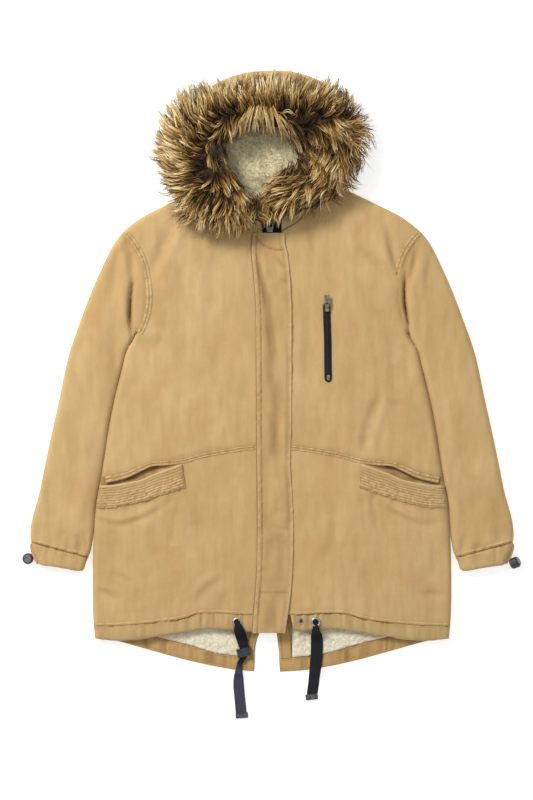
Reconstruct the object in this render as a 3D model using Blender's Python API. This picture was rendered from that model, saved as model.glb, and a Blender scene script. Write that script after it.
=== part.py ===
# Fur trimmed parka lying flat on its back, front closed, hood opened upwards.
# Metres, +Z up, collar towards +Y. The wearer's right is at -X.
# The origin is on the ground under the point where the front closure meets the waist seam.
import math
from collections import namedtuple

import bmesh
import bpy
from mathutils import Matrix, Vector

MM = 0.001

# Cloth build-up, in millimetres.
SEAM_GAP = 0.3
WAIST_GAP = 0.5
CUFF_GAP = 0.7
SEAM_HEIGHT = 11.0          # height of the side seams above the ground
EDGE_ROUND = 11.0           # radius of the rolled sides
CROWN_RISE = 3.0            # extra loft in the middle of a panel
CROWN_REACH = 60.0
WALL_EDGE = 7.5             # cotton shell and pile together at a rolled side
WALL_MIDDLE = 11.0          # and in the middle of a panel
WALL_REACH = 45.0
COTTON = 3.0                # turned cotton pieces: flap, welts, facings
TAIL_SHELL = 3.0
TAIL_PILE = 5.0
SLEEVE_CLEARANCE = 0.8      # between a sleeve and the side of the body
TUCK = 17.2                 # half width left open for the main zip

SIDES = {"right": -1, "left": 1}

Point = namedtuple("Point", "x y")
SleeveRow = namedtuple("SleeveRow", "outer_x outer_y inner_y bow")
FlapRow = namedtuple("FlapRow", "y seam_x free_x")
FurRow = namedtuple("FurRow", "angle inner outer")
TapeRow = namedtuple("TapeRow", "x y under width")

# Half outlines, seen from the front, x away from the centre.
NECK_SIDE = Point(95.0, 480.0)
ARM_TOP = Point(272.0, 382.0)
UNDERARM = Point(246.0, 202.0)
SHOULDER = (NECK_SIDE, Point(190.0, 435.0), Point(232.0, 414.0), ARM_TOP)
BODY_SIDE = (
    Point(319.5, -346.0), Point(322.5, -310.0), Point(323.5, -230.0), Point(321.5, -160.0),
    Point(316.0, -97.0), Point(304.5, -32.0), Point(290.0, 57.0), Point(268.5, 148.0),
    Point(262.5, 171.0), Point(250.5, 192.0), UNDERARM,
)
WAIST_SIDE = Point(308.2, -55.0)
NECKLINE = (Point(17.2, 386.0), Point(47.8, 404.0), Point(78.4, 440.0), NECK_SIDE)
BACK_NECK = (Point(0.0, 474.0), Point(50.0, 476.0), NECK_SIDE)
WAIST = (
    Point(0.0, 2.0), Point(32.0, 2.0), Point(90.0, -6.0), Point(130.0, -13.5), Point(160.0, -22.0),
    Point(190.0, -25.5), Point(220.0, -28.0), Point(240.0, -36.0), Point(261.0, -45.0), Point(307.5, -55.0),
)
HEM_SEAM = (
    Point(17.0, -303.0), Point(50.0, -303.0), Point(100.0, -300.5), Point(136.0, -302.0),
    Point(160.0, -309.5), Point(209.0, -317.0), Point(258.0, -322.0), Point(322.0, -324.5),
)
HEM_EDGE = (
    Point(17.0, -335.0), Point(60.0, -333.5), Point(114.0, -329.5), Point(168.0, -337.5),
    Point(210.0, -343.8), Point(246.0, -349.0), Point(285.0, -351.0), Point(320.0, -347.5),
)
TAIL_EDGE = (
    Point(10.0, -409.0), Point(30.0, -408.0), Point(66.0, -405.0), Point(112.0, -397.0),
    Point(158.0, -386.5), Point(223.0, -368.5), Point(284.0, -352.0), Point(321.0, -344.0),
)
TAIL_BAND_TOP = (
    Point(10.0, -385.0), Point(64.0, -380.0), Point(104.0, -374.0), Point(146.0, -361.5),
    Point(198.0, -348.0), Point(250.0, -335.0), Point(310.0, -326.0),
)
WELT_TOP = (
    Point(161.0, -31.5), Point(187.0, -41.0), Point(213.0, -50.5), Point(233.0, -59.5),
    Point(255.0, -64.5), Point(283.0, -69.7), Point(306.0, -71.0),
)
WELT_BOTTOM = (
    Point(155.0, -75.6), Point(181.0, -84.5), Point(207.0, -92.0), Point(233.0, -101.0),
    Point(262.0, -108.0), Point(288.0, -112.5), Point(309.0, -113.0),
)

# A sleeve, ring by ring from the armhole to the cuff seam. The inner ends lie on the body's side.
SLEEVE = (
    SleeveRow(272.0, 382.0, 202.0, 30.0), SleeveRow(312.0, 310.0, 192.0, 15.0),
    SleeveRow(346.0, 225.0, 171.0, 3.0), SleeveRow(365.0, 170.0, 148.0, 0.0),
    SleeveRow(384.0, 84.0, 57.0, 0.0), SleeveRow(404.0, -7.0, -32.0, 0.0),
    SleeveRow(417.0, -72.0, -97.0, 0.0), SleeveRow(435.0, -172.0, -200.0, 0.0),
)
CUFF_SEAM_INNER_X = 333.0
CUFF_OUTER = Point(423.0, -211.0)
CUFF_INNER = Point(338.0, -224.0)
CUFF_DROP = 2.5             # the cuff lies flatter than the sleeve

# The storm flap: sewn edge and free edge.
FLAP = (
    FlapRow(383.0, -36.0, 22.7), FlapRow(362.0, -38.0, 24.0), FlapRow(343.0, -38.0, 29.0),
    FlapRow(308.0, -34.0, 32.5), FlapRow(257.0, -30.6, 35.5), FlapRow(140.0, -29.0, 36.0),
    FlapRow(29.0, -28.8, 35.3), FlapRow(-34.0, -28.0, 33.0), FlapRow(-92.0, -27.5, 37.3),
    FlapRow(-148.0, -27.0, 39.0), FlapRow(-223.0, -28.3, 37.3), FlapRow(-262.0, -31.0, 34.2),
    FlapRow(-294.0, -33.8, 30.2), FlapRow(-336.0, -36.5, 24.0),
)

# Main zip.
ZIP_HALF = 16.8
ZIP_TOP = 425.0
ZIP_BOTTOM = -288.0
ZIP_HEIGHT = 20.0
ZIP_TAPE = 2.0

# Vent in the fishtail: edge of each half.
VENT_TOP = -290.0
VENT_EDGE = {
    -1: (Point(0.0, -290.0), Point(10.0, -312.0), Point(11.0, -315.0), Point(27.0, -350.0), Point(32.0, -407.5)),
    1: (Point(0.0, -290.0), Point(4.0, -312.0), Point(4.5, -315.0), Point(10.0, -350.0), Point(14.0, -408.5)),
}
VENT_FACING = {-1: 14.0, 1: 22.0}

# Hood: outline of the shell on the ground, from the left neck side over the crown to the right.
HOOD_OUTLINE = (
    Point(101.0, 483.0), Point(146.0, 516.0), Point(155.0, 556.0), Point(151.0, 600.0), Point(132.0, 640.0),
    Point(88.0, 663.0), Point(44.0, 674.0), Point(-4.0, 677.0), Point(-50.0, 673.0), Point(-92.0, 661.0),
    Point(-132.0, 636.0), Point(-154.0, 600.0), Point(-159.0, 556.0), Point(-148.0, 516.0), Point(-101.0, 483.0),
)
HOOD_CHORD = 76.0
HOOD_CHORD_Y = 480.6
HOOD_RIM_HEIGHT = 33.0
HOOD_RIM_MARGIN = 12.0
HOOD_COTTON = 3.0
HOOD_PILE = 6.0

# Fur trim: reach of the locks around the opening, by angle about its middle.
FUR_MIDDLE = Point(-25.0, 506.0)
FUR_UNDER = 34.6
FUR_TOP = 76.0
FUR = (
    FurRow(-75.0, 62.0, 97.0), FurRow(-62.0, 50.0, 112.0), FurRow(-48.0, 42.0, 136.0), FurRow(-24.0, 41.0, 174.0),
    FurRow(4.0, 58.0, 201.0), FurRow(24.0, 70.0, 215.0), FurRow(44.0, 62.0, 202.0), FurRow(66.0, 50.0, 170.0),
    FurRow(90.0, 47.0, 160.0), FurRow(112.0, 50.0, 160.0), FurRow(134.0, 57.0, 190.0), FurRow(168.0, 66.0, 188.0),
    FurRow(198.0, 49.0, 173.0), FurRow(218.0, 44.0, 172.0), FurRow(238.0, 52.0, 148.0), FurRow(258.0, 64.0, 126.0),
    FurRow(277.5, 63.0, 97.0),
)
FUR_SECTION = (
    (0.12, 0.0), (0.0, 0.3), (0.16, 0.72), (0.48, 1.0), (0.8, 0.78), (1.0, 0.34), (0.94, 0.04), (0.55, 0.0),
)

# Hem hardware.
EYELET_OUTER = 9.0
EYELET_INNER = 5.2
EYELET_THICK = 2.4
EYELET = {-1: Point(62.6, -316.8), 1: Point(78.5, -316.3)}
STUD = Point(52.2, -314.3)
STUD_RADIUS = 5.4
STUD_THICK = 3.0
TAPE_THICK = 1.8
HEM_TAPE = {
    "right": (
        TapeRow(-62.6, -314.5, 25.6, 6.0), TapeRow(-62.0, -318.5, 26.5, 7.0), TapeRow(-61.3, -321.6, 28.3, 9.0),
        TapeRow(-60.0, -327.5, 27.8, 15.0), TapeRow(-57.8, -334.8, 23.4, 19.0), TapeRow(-56.0, -341.5, 16.0, 19.5),
        TapeRow(-54.0, -349.0, 12.2, 19.0), TapeRow(-51.0, -362.0, 11.8, 14.5), TapeRow(-50.6, -372.0, 11.8, 12.0),
        TapeRow(-53.0, -383.5, 11.2, 10.0), TapeRow(-57.5, -392.0, 8.2, 10.0), TapeRow(-59.0, -402.0, 7.4, 12.0),
        TapeRow(-60.0, -411.0, 6.0, 15.0), TapeRow(-60.4, -420.0, 1.6, 18.0), TapeRow(-60.3, -432.0, 0.6, 19.6),
        TapeRow(-58.6, -452.0, 0.6, 19.6), TapeRow(-56.0, -480.5, 1.1, 19.6),
    ),
    "left": (
        TapeRow(78.5, -314.0, 25.6, 6.0), TapeRow(78.3, -318.0, 26.5, 7.0), TapeRow(78.4, -321.2, 28.3, 9.0),
        TapeRow(78.8, -327.0, 27.8, 15.0), TapeRow(79.2, -334.4, 23.4, 19.0), TapeRow(80.2, -341.5, 16.0, 20.5),
        TapeRow(81.0, -350.0, 10.2, 21.5), TapeRow(81.0, -362.0, 8.9, 21.5), TapeRow(80.2, -382.0, 8.7, 21.5),
        TapeRow(78.5, -400.0, 7.4, 21.0), TapeRow(77.4, -409.0, 5.8, 20.5), TapeRow(76.4, -418.0, 1.6, 20.0),
        TapeRow(75.2, -430.0, 0.8, 19.8), TapeRow(73.0, -446.0, 1.1, 19.6),
    ),
}
CLIP_LENGTH = 10.5
CLIP_WIDTH = 22.5
CLIP_THICK = 4.2
CLIP = {"right": (Point(-54.6, -487.2), 4.0), "left": (Point(71.8, -453.9), 6.0)}
SLIDE_AT = Point(-50.4, -372.0)
SLIDE_UNDER = 8.8
SLIDE_SIZE = (27.0, 15.0, 8.0)
SLIDE_SLOT = (21.5, 3.4)
SLIDE_TURN = 14.0

# Cord locks at the cuffs: the right one stands face up, the left one has rolled onto its side.
LOCK_AT = {-1: (-440.5, -203.5, 0.3), 1: (431.5, -213.5, 9.0)}
LOCK_AXIS = {-1: (0.0, 0.0, 1.0), 1: (0.86, 0.36, 0.36)}
LOCK_RADIUS = 10.0
LOCK_HEIGHT = 15.0
LOCK_WALL = 2.4
LOCK_FLOOR = 4.5
BUTTON_RADIUS = 7.0
BUTTON_TALL = 9.5
BUTTON_LIFT = 3.2           # clear travel under the button

# Zip pulls hang on an arch on their sliders.
ARCH_LONG = 5.6
ARCH_WIDE = 1.8
ARCH_BAR = 1.2
ARCH_OPEN = 2.6
PULL_THICK = 1.6
PULL_ROOT = 1.6

# Chest zip on the wearer's left.
CHEST_ZIP_X = 99.0
CHEST_ZIP_TOP = 258.0
CHEST_ZIP_BOTTOM = 115.0
CHEST_ZIP_WIDTH = 13.0
CHEST_ZIP_LEAN = 3.6        # sideways run from the top to the bottom
CHEST_TAPE = 1.6

COTTON_TAN = ("cotton_tan", (0.60, 0.40, 0.20, 1.0), 0.9, 0.0)
PILE_CREAM = ("pile_cream", (0.72, 0.66, 0.48, 1.0), 1.0, 0.0)
FUR_BROWN = ("fur_brown", (0.42, 0.27, 0.12, 1.0), 0.85, 0.0)
TAPE_BLACK = ("tape_black", (0.02, 0.02, 0.025, 1.0), 0.75, 0.0)
PLASTIC_BLACK = ("plastic_black", (0.025, 0.025, 0.028, 1.0), 0.4, 0.0)
METAL_DARK = ("metal_dark", (0.28, 0.26, 0.24, 1.0), 0.35, 1.0)
METAL_BRIGHT = ("metal_bright", (0.6, 0.6, 0.6, 1.0), 0.3, 1.0)


def clear_scene():
    for item in list(bpy.data.objects):
        bpy.data.objects.remove(item, do_unlink=True)


def material(kind):
    name, colour, roughness, metallic = kind
    found = bpy.data.materials.get(name)
    if found:
        return found
    made = bpy.data.materials.new(name)
    made.use_nodes = True
    shader = made.node_tree.nodes["Principled BSDF"]
    shader.inputs["Base Color"].default_value = colour
    shader.inputs["Roughness"].default_value = roughness
    shader.inputs["Metallic"].default_value = metallic
    made.diffuse_color = colour
    return made


def add_part(name, bm, kind, collection=None):
    """Closes, orients and links one finished body."""
    bmesh.ops.remove_doubles(bm, verts=bm.verts[:], dist=0.00002)
    bmesh.ops.recalc_face_normals(bm, faces=bm.faces[:])
    mesh = bpy.data.meshes.new(name)
    bm.to_mesh(mesh)
    bm.free()
    mesh.materials.append(material(kind))
    part = bpy.data.objects.new(name, mesh)
    (collection or PARTS).objects.link(part)
    return part


def height_at(edge, x):
    """y of an outline at x."""
    for near, far in zip(edge, edge[1:]):
        if x <= far.x or far is edge[-1]:
            share = (x - near.x) / (far.x - near.x)
            return near.y + (far.y - near.y) * share
    return edge[-1].y


def edge_length(edge):
    return sum(math.dist(a, b) for a, b in zip(edge, edge[1:]))


def along(edge, share):
    """Point at a share of an outline's length."""
    left = share * edge_length(edge)
    for a, b in zip(edge, edge[1:]):
        piece = math.dist(a, b)
        if left <= piece or b is edge[-1]:
            part = left / piece
            return Point(a.x + (b.x - a.x) * part, a.y + (b.y - a.y) * part)
        left -= piece
    return edge[-1]


def sleeve_inner_x(y):
    """The sleeve lies beside the body down to the last row, where it leaves it."""
    side = [Point(p.y, p.x) for p in BODY_SIDE]
    if y <= SLEEVE[-1].inner_y:
        return CUFF_SEAM_INNER_X
    return height_at(side, y) + SLEEVE_CLEARANCE


def sleeve_ring(row):
    return Point(row.outer_x, row.outer_y), Point(sleeve_inner_x(row.inner_y), row.inner_y)


SLEEVE_OUTER = SHOULDER + tuple(sleeve_ring(row)[0] for row in SLEEVE[1:]) + (CUFF_OUTER,)
SLEEVE_INNER = tuple(sleeve_ring(row)[1] for row in SLEEVE) + (CUFF_INNER,)


def nearest(edge, x, y, inside):
    """Distance from an outline and the direction that leads away from it, into the cloth."""
    best = None
    for index, (a, b) in enumerate(zip(edge, edge[1:])):
        dx, dy = b.x - a.x, b.y - a.y
        size = dx * dx + dy * dy
        part = max(0.0, min(1.0, ((x - a.x) * dx + (y - a.y) * dy) / size))
        off = math.hypot(x - a.x - dx * part, y - a.y - dy * part)
        if best is None or off < best[0]:
            best = (off, index, part)
    off, index, part = best

    def across(at):
        a, b = edge[max(at - 1, 0)], edge[min(at + 1, len(edge) - 1)]
        return Vector((-(b.y - a.y), b.x - a.x, 0.0)).normalized() * inside

    return off, across(index).lerp(across(index + 1), part).normalized()


BODY_BORDERS = ((SLEEVE_OUTER, -1), (BODY_SIDE, 1))
SLEEVE_BORDERS = ((SLEEVE_OUTER, -1), (SLEEVE_INNER, 1))


def cloth(x, y, borders, upper, gap=SEAM_GAP):
    """Outer point of the cloth over a plan point, its outward direction and its wall."""
    found = [nearest(edge, x, y, inside) for edge, inside in borders]
    off, inward = min(found, key=lambda item: item[0])
    turn = max(0.0, 1.0 - off / EDGE_ROUND)
    rise = math.sqrt(1.0 - turn * turn)
    past = max(off - EDGE_ROUND, 0.0)
    if upper:
        z = SEAM_HEIGHT + gap + EDGE_ROUND * rise + CROWN_RISE * (1.0 - math.exp(-past / CROWN_REACH))
    else:
        z = SEAM_HEIGHT - EDGE_ROUND * rise
    normal = Vector((-inward.x * turn, -inward.y * turn, rise if upper else -rise))
    wall = WALL_EDGE + (WALL_MIDDLE - WALL_EDGE) * min(1.0, off / WALL_REACH)
    return Vector((x, y, z)), normal, wall


def grid(bm, rows, columns, place, wrap=False):
    """A sheet of rows by columns. place(row, column) gives its outer and inner point."""
    inner = bm.verts.layers.float_vector.get("inner") or bm.verts.layers.float_vector.new("inner")
    made = bmesh.ops.create_grid(bm, x_segments=columns - 1, y_segments=rows - 1, size=0.5)["verts"]
    for vert in made:
        column = round((vert.co.x + 0.5) * (columns - 1))
        row = round((vert.co.y + 0.5) * (rows - 1))
        outer_point, inner_point = place(row, column % (columns - 1) if wrap else column)
        vert.co = outer_point * MM
        vert[inner] = inner_point * MM
    return made


def thicken(bm):
    """Gives the sheet its wall, from the outer points to the inner ones."""
    bmesh.ops.remove_doubles(bm, verts=bm.verts[:], dist=0.00002)
    inner = bm.verts.layers.float_vector["inner"]
    made = bmesh.ops.extrude_face_region(bm, geom=bm.faces[:], use_keep_orig=True)["geom"]
    for item in made:
        if isinstance(item, bmesh.types.BMVert):
            item.co = item[inner]


def wall_by_normals(bm, wall):
    """Sets the inner points a wall's thickness behind the sheet."""
    bmesh.ops.remove_doubles(bm, verts=bm.verts[:], dist=0.00002)
    bm.normal_update()
    inner = bm.verts.layers.float_vector["inner"]
    for vert in bm.verts:
        vert[inner] = vert.co - vert.normal * wall * MM


def coons(bottom, top, left, right, u, v):
    """Blends four outlines into a panel."""
    def mix(a, b, share):
        return a * (1.0 - share) + b * share
    rows = mix(bottom(u), top(u), v)
    columns = mix(left(v), right(v), u)
    corners = mix(mix(bottom(0), bottom(1), u), mix(top(0), top(1), u), v)
    return rows + columns - corners


def vec(point):
    return Vector((point.x, point.y, 0.0))


# Steps from a rolled side inwards, at 0, 30, 60 and 90 degrees round it.
ROLL_STEPS = tuple(EDGE_ROUND * (1.0 - math.cos(math.radians(a))) for a in (0, 30, 60, 90))


def ring_shares(length):
    """Shares across a sleeve, close together at both rolled edges."""
    first = [step / length for step in ROLL_STEPS]
    middle = [first[-1] + (1.0 - 2.0 * first[-1]) * k / 4.0 for k in (1, 2, 3)]
    return first + middle + [1.0 - s for s in reversed(first)]


def across_sleeve(row, share):
    outer, inner = sleeve_ring(row)
    if row is SLEEVE[0]:
        inner = UNDERARM
    a, b = vec(outer), vec(inner)
    bow = Vector((b.y - a.y, a.x - b.x, 0.0)).normalized()
    return a.lerp(b, share) + bow * row.bow * (1.0 - abs(2.0 * share - 1.0) ** 2.5)


def armhole():
    """Armhole from the underarm up to the shoulder."""
    length = math.dist(ARM_TOP, UNDERARM)
    points = [across_sleeve(SLEEVE[0], s) for s in ring_shares(length)]
    return [Point(p.x, p.y) for p in reversed(points)]


# Columns of a body panel: 0 at the centre, 1 at the side.
PANEL_REACH = 300.0
COLUMNS = (0.0, 0.12, 0.24, 0.306, 0.47, 0.64, 0.79, 0.9) + tuple(1.0 - step / PANEL_REACH for step in reversed(ROLL_STEPS))


def row_shares(right_points, left_heights):
    """Functions of a share v that pass through the given side points and centre heights."""
    count = len(right_points) - 1

    def right(v):
        at = v * count
        low = min(int(at), count - 1)
        return vec(right_points[low]).lerp(vec(right_points[low + 1]), at - low)

    def left(v):
        at = v * count
        low = min(int(at), count - 1)
        return left_heights[low].lerp(left_heights[low + 1], at - low)

    return left, right


def front_edge_x(side, y):
    """Centre edge of a front: straight, but the left one swings away at the hem."""
    if side < 0 or y > -255.0:
        return TUCK
    return TUCK + 17.0 * min(1.0, (-255.0 - y) / 48.0)


def front_upper(word, side):
    right_points = [WAIST_SIDE] + [p for p in BODY_SIDE if p.y > -50.0] + armhole()[1:]
    low, high = height_at(WAIST, TUCK), NECKLINE[0].y
    count = len(right_points) - 1
    tall = ARM_TOP.y - WAIST_SIDE.y
    heights = [
        Vector((TUCK, low + (high - low) * (point.y - WAIST_SIDE.y) / tall, 0.0)) for point in right_points
    ]
    left, right = row_shares(right_points, heights)
    top_edge = NECKLINE + SHOULDER[1:]

    def bottom(u):
        x = TUCK + (right_points[0].x - TUCK) * u
        return Vector((x, height_at(WAIST, x) + WAIST_GAP / 2, 0.0))

    def top(u):
        x = TUCK + (ARM_TOP.x - TUCK) * u
        return Vector((x, height_at(top_edge, x), 0.0))

    def place(row, column):
        flat = coons(bottom, top, left, right, COLUMNS[column], row / count)
        outer, normal, wall = cloth(flat.x, flat.y, BODY_BORDERS, True)
        inner = outer - normal * wall
        return Vector((outer.x * side, outer.y, outer.z)), Vector((inner.x * side, inner.y, inner.z))

    bm = bmesh.new()
    grid(bm, count + 1, len(COLUMNS), place)
    thicken(bm)
    add_part(f"front_upper_{word}", bm, COTTON_TAN)


MOUTH_DEPTH = 5.0
MOUTH_FROM = 172.0
MOUTH_TO = 270.0
MOUTH_WIDTH = 9.0


def mouth_dip(x, y):
    """The cloth sinks behind the top edge of a pocket welt."""
    if not MOUTH_FROM - 12.0 < x < MOUTH_TO + 12.0:
        return 0.0
    above = y - height_at(WELT_TOP, x)
    if abs(above - MOUTH_WIDTH / 2) > MOUTH_WIDTH:
        return 0.0
    ends = min(1.0, (x - MOUTH_FROM + 12.0) / 12.0, (MOUTH_TO + 12.0 - x) / 12.0)
    return MOUTH_DEPTH * ends * math.cos((above - MOUTH_WIDTH / 2) / MOUTH_WIDTH * math.pi / 2) ** 2


def skirt_point(x, y):
    outer, normal, wall = cloth(x, y, BODY_BORDERS, True)
    outer.z -= mouth_dip(x, y)
    return outer, normal, wall - mouth_dip(x, y) * 0.6


def front_lower(word, side):
    side_points = [
        WAIST_SIDE, Point(312.6, -78.0), Point(316.0, -97.0), Point(321.5, -160.0),
        Point(323.5, -230.0), Point(322.6, -302.0), Point(HEM_SIDE_X, -324.0),
    ]
    count = len(side_points) - 1
    middles = (1.9, -30.0, -70.0, -140.0, -215.0, -275.0, -303.0)
    heights = [Vector((front_edge_x(side, y), y, 0.0)) for y in middles]
    left, right = row_shares(side_points, heights)

    def top(u):
        x = heights[0].x + (side_points[0].x - heights[0].x) * u
        return Vector((x, height_at(WAIST, x) - WAIST_GAP / 2, 0.0))

    def bottom(u):
        x = heights[-1].x + (side_points[-1].x - heights[-1].x) * u
        return Vector((x, height_at(HEM_SEAM, x) + SEAM_GAP / 2, 0.0))

    def place(row, column):
        flat = coons(top, bottom, left, right, COLUMNS[column], row / count)
        outer, normal, wall = skirt_point(flat.x, flat.y)
        inner = outer - normal * wall
        return Vector((outer.x * side, outer.y, outer.z)), Vector((inner.x * side, inner.y, inner.z))

    bm = bmesh.new()
    grid(bm, count + 1, len(COLUMNS), place)
    thicken(bm)
    add_part(f"front_lower_{word}", bm, COTTON_TAN)


HEM_SIDE_X = 322.2
SIDE_BY_HEIGHT = [Point(p.y, p.x) for p in BODY_SIDE]
BAND_DROP = 4.0
BAND_WALL = 7.0
BAND_INSET = {-1: 0.0, 1: 6.0}


def band_point(x, y):
    """The front hem band slopes down to its edge."""
    seam, edge = height_at(HEM_SEAM, x), height_at(HEM_EDGE, x)
    share = max(0.0, min(1.0, (seam - y) / (seam - edge)))
    outer, normal, wall = cloth(x, y, BODY_BORDERS, True)
    outer.z -= BAND_DROP * share * share * normal.z
    return outer, normal, min(wall, BAND_WALL)


def hem_band(word, side):
    start = front_edge_x(side, -303.0)
    rows = 4

    def place(row, column):
        x = start + (HEM_SIDE_X - start) * COLUMNS[column]
        if column == 0:
            x += BAND_INSET[side]
        seam = height_at(HEM_SEAM, x) - SEAM_GAP / 2
        y = seam + (height_at(HEM_EDGE, x) - seam) * row / (rows - 1)
        x += (height_at(SIDE_BY_HEIGHT, y) - HEM_SIDE_X) * COLUMNS[column]
        outer, normal, wall = band_point(x, y)
        inner = outer - normal * wall
        return Vector((outer.x * side, outer.y, outer.z)), Vector((inner.x * side, inner.y, inner.z))

    bm = bmesh.new()
    grid(bm, rows, len(COLUMNS), place)
    thicken(bm)
    add_part(f"hem_band_{word}", bm, COTTON_TAN)


def back_panel():
    side_rows = [
        (Point(319.5, -344.5), -407.5), (Point(320.9, -330.0), -350.0), (Point(322.3, -313.0), -315.0),
        (Point(322.5, -310.0), -312.0), (Point(323.1, -262.0), -290.0),
    ]
    upper = [p for p in BODY_SIDE if p.y > -240.0]
    for point in upper:
        share = (point.y + 262.0) / (ARM_TOP.y + 262.0)
        side_rows.append((point, -290.0 + (BACK_NECK[0].y + 290.0) * share))
    for point in armhole()[1:]:
        share = (point.y + 262.0) / (ARM_TOP.y + 262.0)
        side_rows.append((point, -290.0 + (BACK_NECK[0].y + 290.0) * share))
    count = len(side_rows) - 1
    top_edge = BACK_NECK + SHOULDER[1:]
    bm = bmesh.new()
    for side in (-1, 1):
        vent = VENT_EDGE[side]
        vent_x = [Point(p.y, p.x) for p in reversed(vent)]
        heights = []
        for _, y in side_rows:
            x = 0.0 if y >= VENT_TOP else height_at(vent_x, max(y, vent_x[0].x))
            heights.append(Vector((x, y, 0.0)))
        left, right = row_shares([p for p, _ in side_rows], heights)

        def bottom(u):
            x = heights[0].x + (side_rows[0][0].x - heights[0].x) * u
            return Vector((x, height_at(TAIL_EDGE, x), 0.0))

        def top(u):
            x = ARM_TOP.x * u
            return Vector((x, height_at(top_edge, x), 0.0))

        def place(row, column):
            flat = coons(bottom, top, left, right, COLUMNS[column], row / count)
            outer, normal, wall = cloth(flat.x, flat.y, BODY_BORDERS, False)
            if row <= 2:
                wall = TAIL_SHELL
            inner = outer - normal * wall
            return Vector((outer.x * side, outer.y, outer.z)), Vector((inner.x * side, inner.y, inner.z))

        grid(bm, count + 1, len(COLUMNS), place)
    thicken(bm)
    add_part("back_panel", bm, COTTON_TAN)


def tube_place(side, rings):
    """Place function of a flat tube: over the top from the outer edge and back underneath."""
    def place(row, column):
        flat, upper, drop, wall_cap, borders = rings(row, column)
        outer, normal, wall = cloth(flat.x, flat.y, borders, upper, 0.0)
        outer.z = outer.z - drop * max(normal.z, 0.0)
        inner = outer - normal * min(wall, wall_cap)
        return Vector((outer.x * side, outer.y, outer.z)), Vector((inner.x * side, inner.y, inner.z))
    return place


TUBE_COLUMNS = 2 * (len(ring_shares(100.0)) - 1) + 1


def tube_share(column, length):
    shares = ring_shares(length)
    half = len(shares) - 1
    upper = column <= half
    return shares[column] if upper else shares[2 * half - column], upper


def sleeve(word, side):
    def rings(row, column):
        section = SLEEVE[row]
        outer, inner = sleeve_ring(section)
        share, upper = tube_share(column, math.dist(outer, inner))
        flat = across_sleeve(section, share)
        if row == 0:
            flat += Vector((0.45, -0.06, 0.0))
        return flat, upper, 0.0, WALL_MIDDLE, SLEEVE_BORDERS

    bm = bmesh.new()
    grid(bm, len(SLEEVE), TUBE_COLUMNS, tube_place(side, rings), wrap=True)
    thicken(bm)
    add_part(f"sleeve_{word}", bm, COTTON_TAN)


def cuff(word, side):
    last = SLEEVE[-1]
    top_outer, top_inner = sleeve_ring(last)
    rows = 3

    def rings(row, column):
        share_down = row / (rows - 1)
        a = vec(top_outer).lerp(vec(CUFF_OUTER), share_down)
        b = vec(top_inner).lerp(vec(CUFF_INNER), share_down)
        down = (vec(CUFF_OUTER) - vec(top_outer)).normalized() * CUFF_GAP * (1.0 - share_down)
        share, upper = tube_share(column, (a - b).length)
        return a.lerp(b, share) + down, upper, CUFF_DROP * share_down, 8.0, SLEEVE_BORDERS

    bm = bmesh.new()
    grid(bm, rows, TUBE_COLUMNS, tube_place(side, rings), wrap=True)
    thicken(bm)
    add_part(f"cuff_{word}", bm, COTTON_TAN)


def patch(name, kind, rows, columns, plan, surface, lift, thick, side=1):
    """A thin piece lying on a panel: made from the panel's points, moved out."""
    def place(row, column):
        flat = plan(row, column)
        base, normal, _ = surface(flat.x, flat.y)
        start = lift(row, column) if callable(lift) else lift
        outer, inner = base + normal * (start + thick), base + normal * start
        return Vector((outer.x * side, outer.y, outer.z)), Vector((inner.x * side, inner.y, inner.z))

    bm = bmesh.new()
    grid(bm, rows, columns, place)
    thicken(bm)
    return add_part(name, bm, kind)


def pocket_welt(word, side):
    rows, columns = 4, 8

    def plan(row, column):
        top, bottom = along(WELT_TOP, column / (columns - 1)), along(WELT_BOTTOM, column / (columns - 1))
        return vec(top).lerp(vec(bottom), row / (rows - 1))

    def surface(x, y):
        return cloth(x, y, BODY_BORDERS, True)

    def lift(row, column):
        return 0.9 + (1.2 if row == 0 else 0.0)

    patch(f"pocket_welt_{word}", COTTON_TAN, rows, columns, plan, surface, lift, COTTON, side)


def storm_flap():
    def place(row, column):
        line = FLAP[row]
        x = line.seam_x + (line.free_x - line.seam_x) * column / 3.0
        under = cloth(abs(x), line.y, BODY_BORDERS, True)[0].z + 0.5
        return Vector((x, line.y, under + COTTON)), Vector((x, line.y, under))

    bm = bmesh.new()
    grid(bm, len(FLAP), 4, place)
    thicken(bm)
    add_part("storm_flap", bm, COTTON_TAN)


def box(name, kind, at, size, bevel=0.6, turn=0.0, tilt=0.0):
    """A small block with softened edges; at is its middle, in millimetres."""
    bm = bmesh.new()
    bmesh.ops.create_cube(bm, size=1.0)
    bmesh.ops.scale(bm, vec=Vector(size) * MM, verts=bm.verts[:])
    if bevel:
        bmesh.ops.bevel(bm, geom=bm.edges[:], offset=bevel * MM, segments=1, affect="EDGES")
    turned = Matrix.Rotation(math.radians(turn), 3, "Z") @ Matrix.Rotation(math.radians(tilt), 3, "X")
    bmesh.ops.rotate(bm, cent=(0, 0, 0), matrix=turned, verts=bm.verts[:])
    bmesh.ops.translate(bm, vec=Vector(at) * MM, verts=bm.verts[:])
    return add_part(name, bm, kind)


def stand(bm, at, axis):
    """Turns a body made about +Z onto an axis and moves it to its place."""
    turn = Vector((0.0, 0.0, 1.0)).rotation_difference(Vector(axis)).to_matrix()
    bmesh.ops.rotate(bm, cent=(0, 0, 0), matrix=turn, verts=bm.verts[:])
    bmesh.ops.translate(bm, vec=Vector(at) * MM, verts=bm.verts[:])


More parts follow.
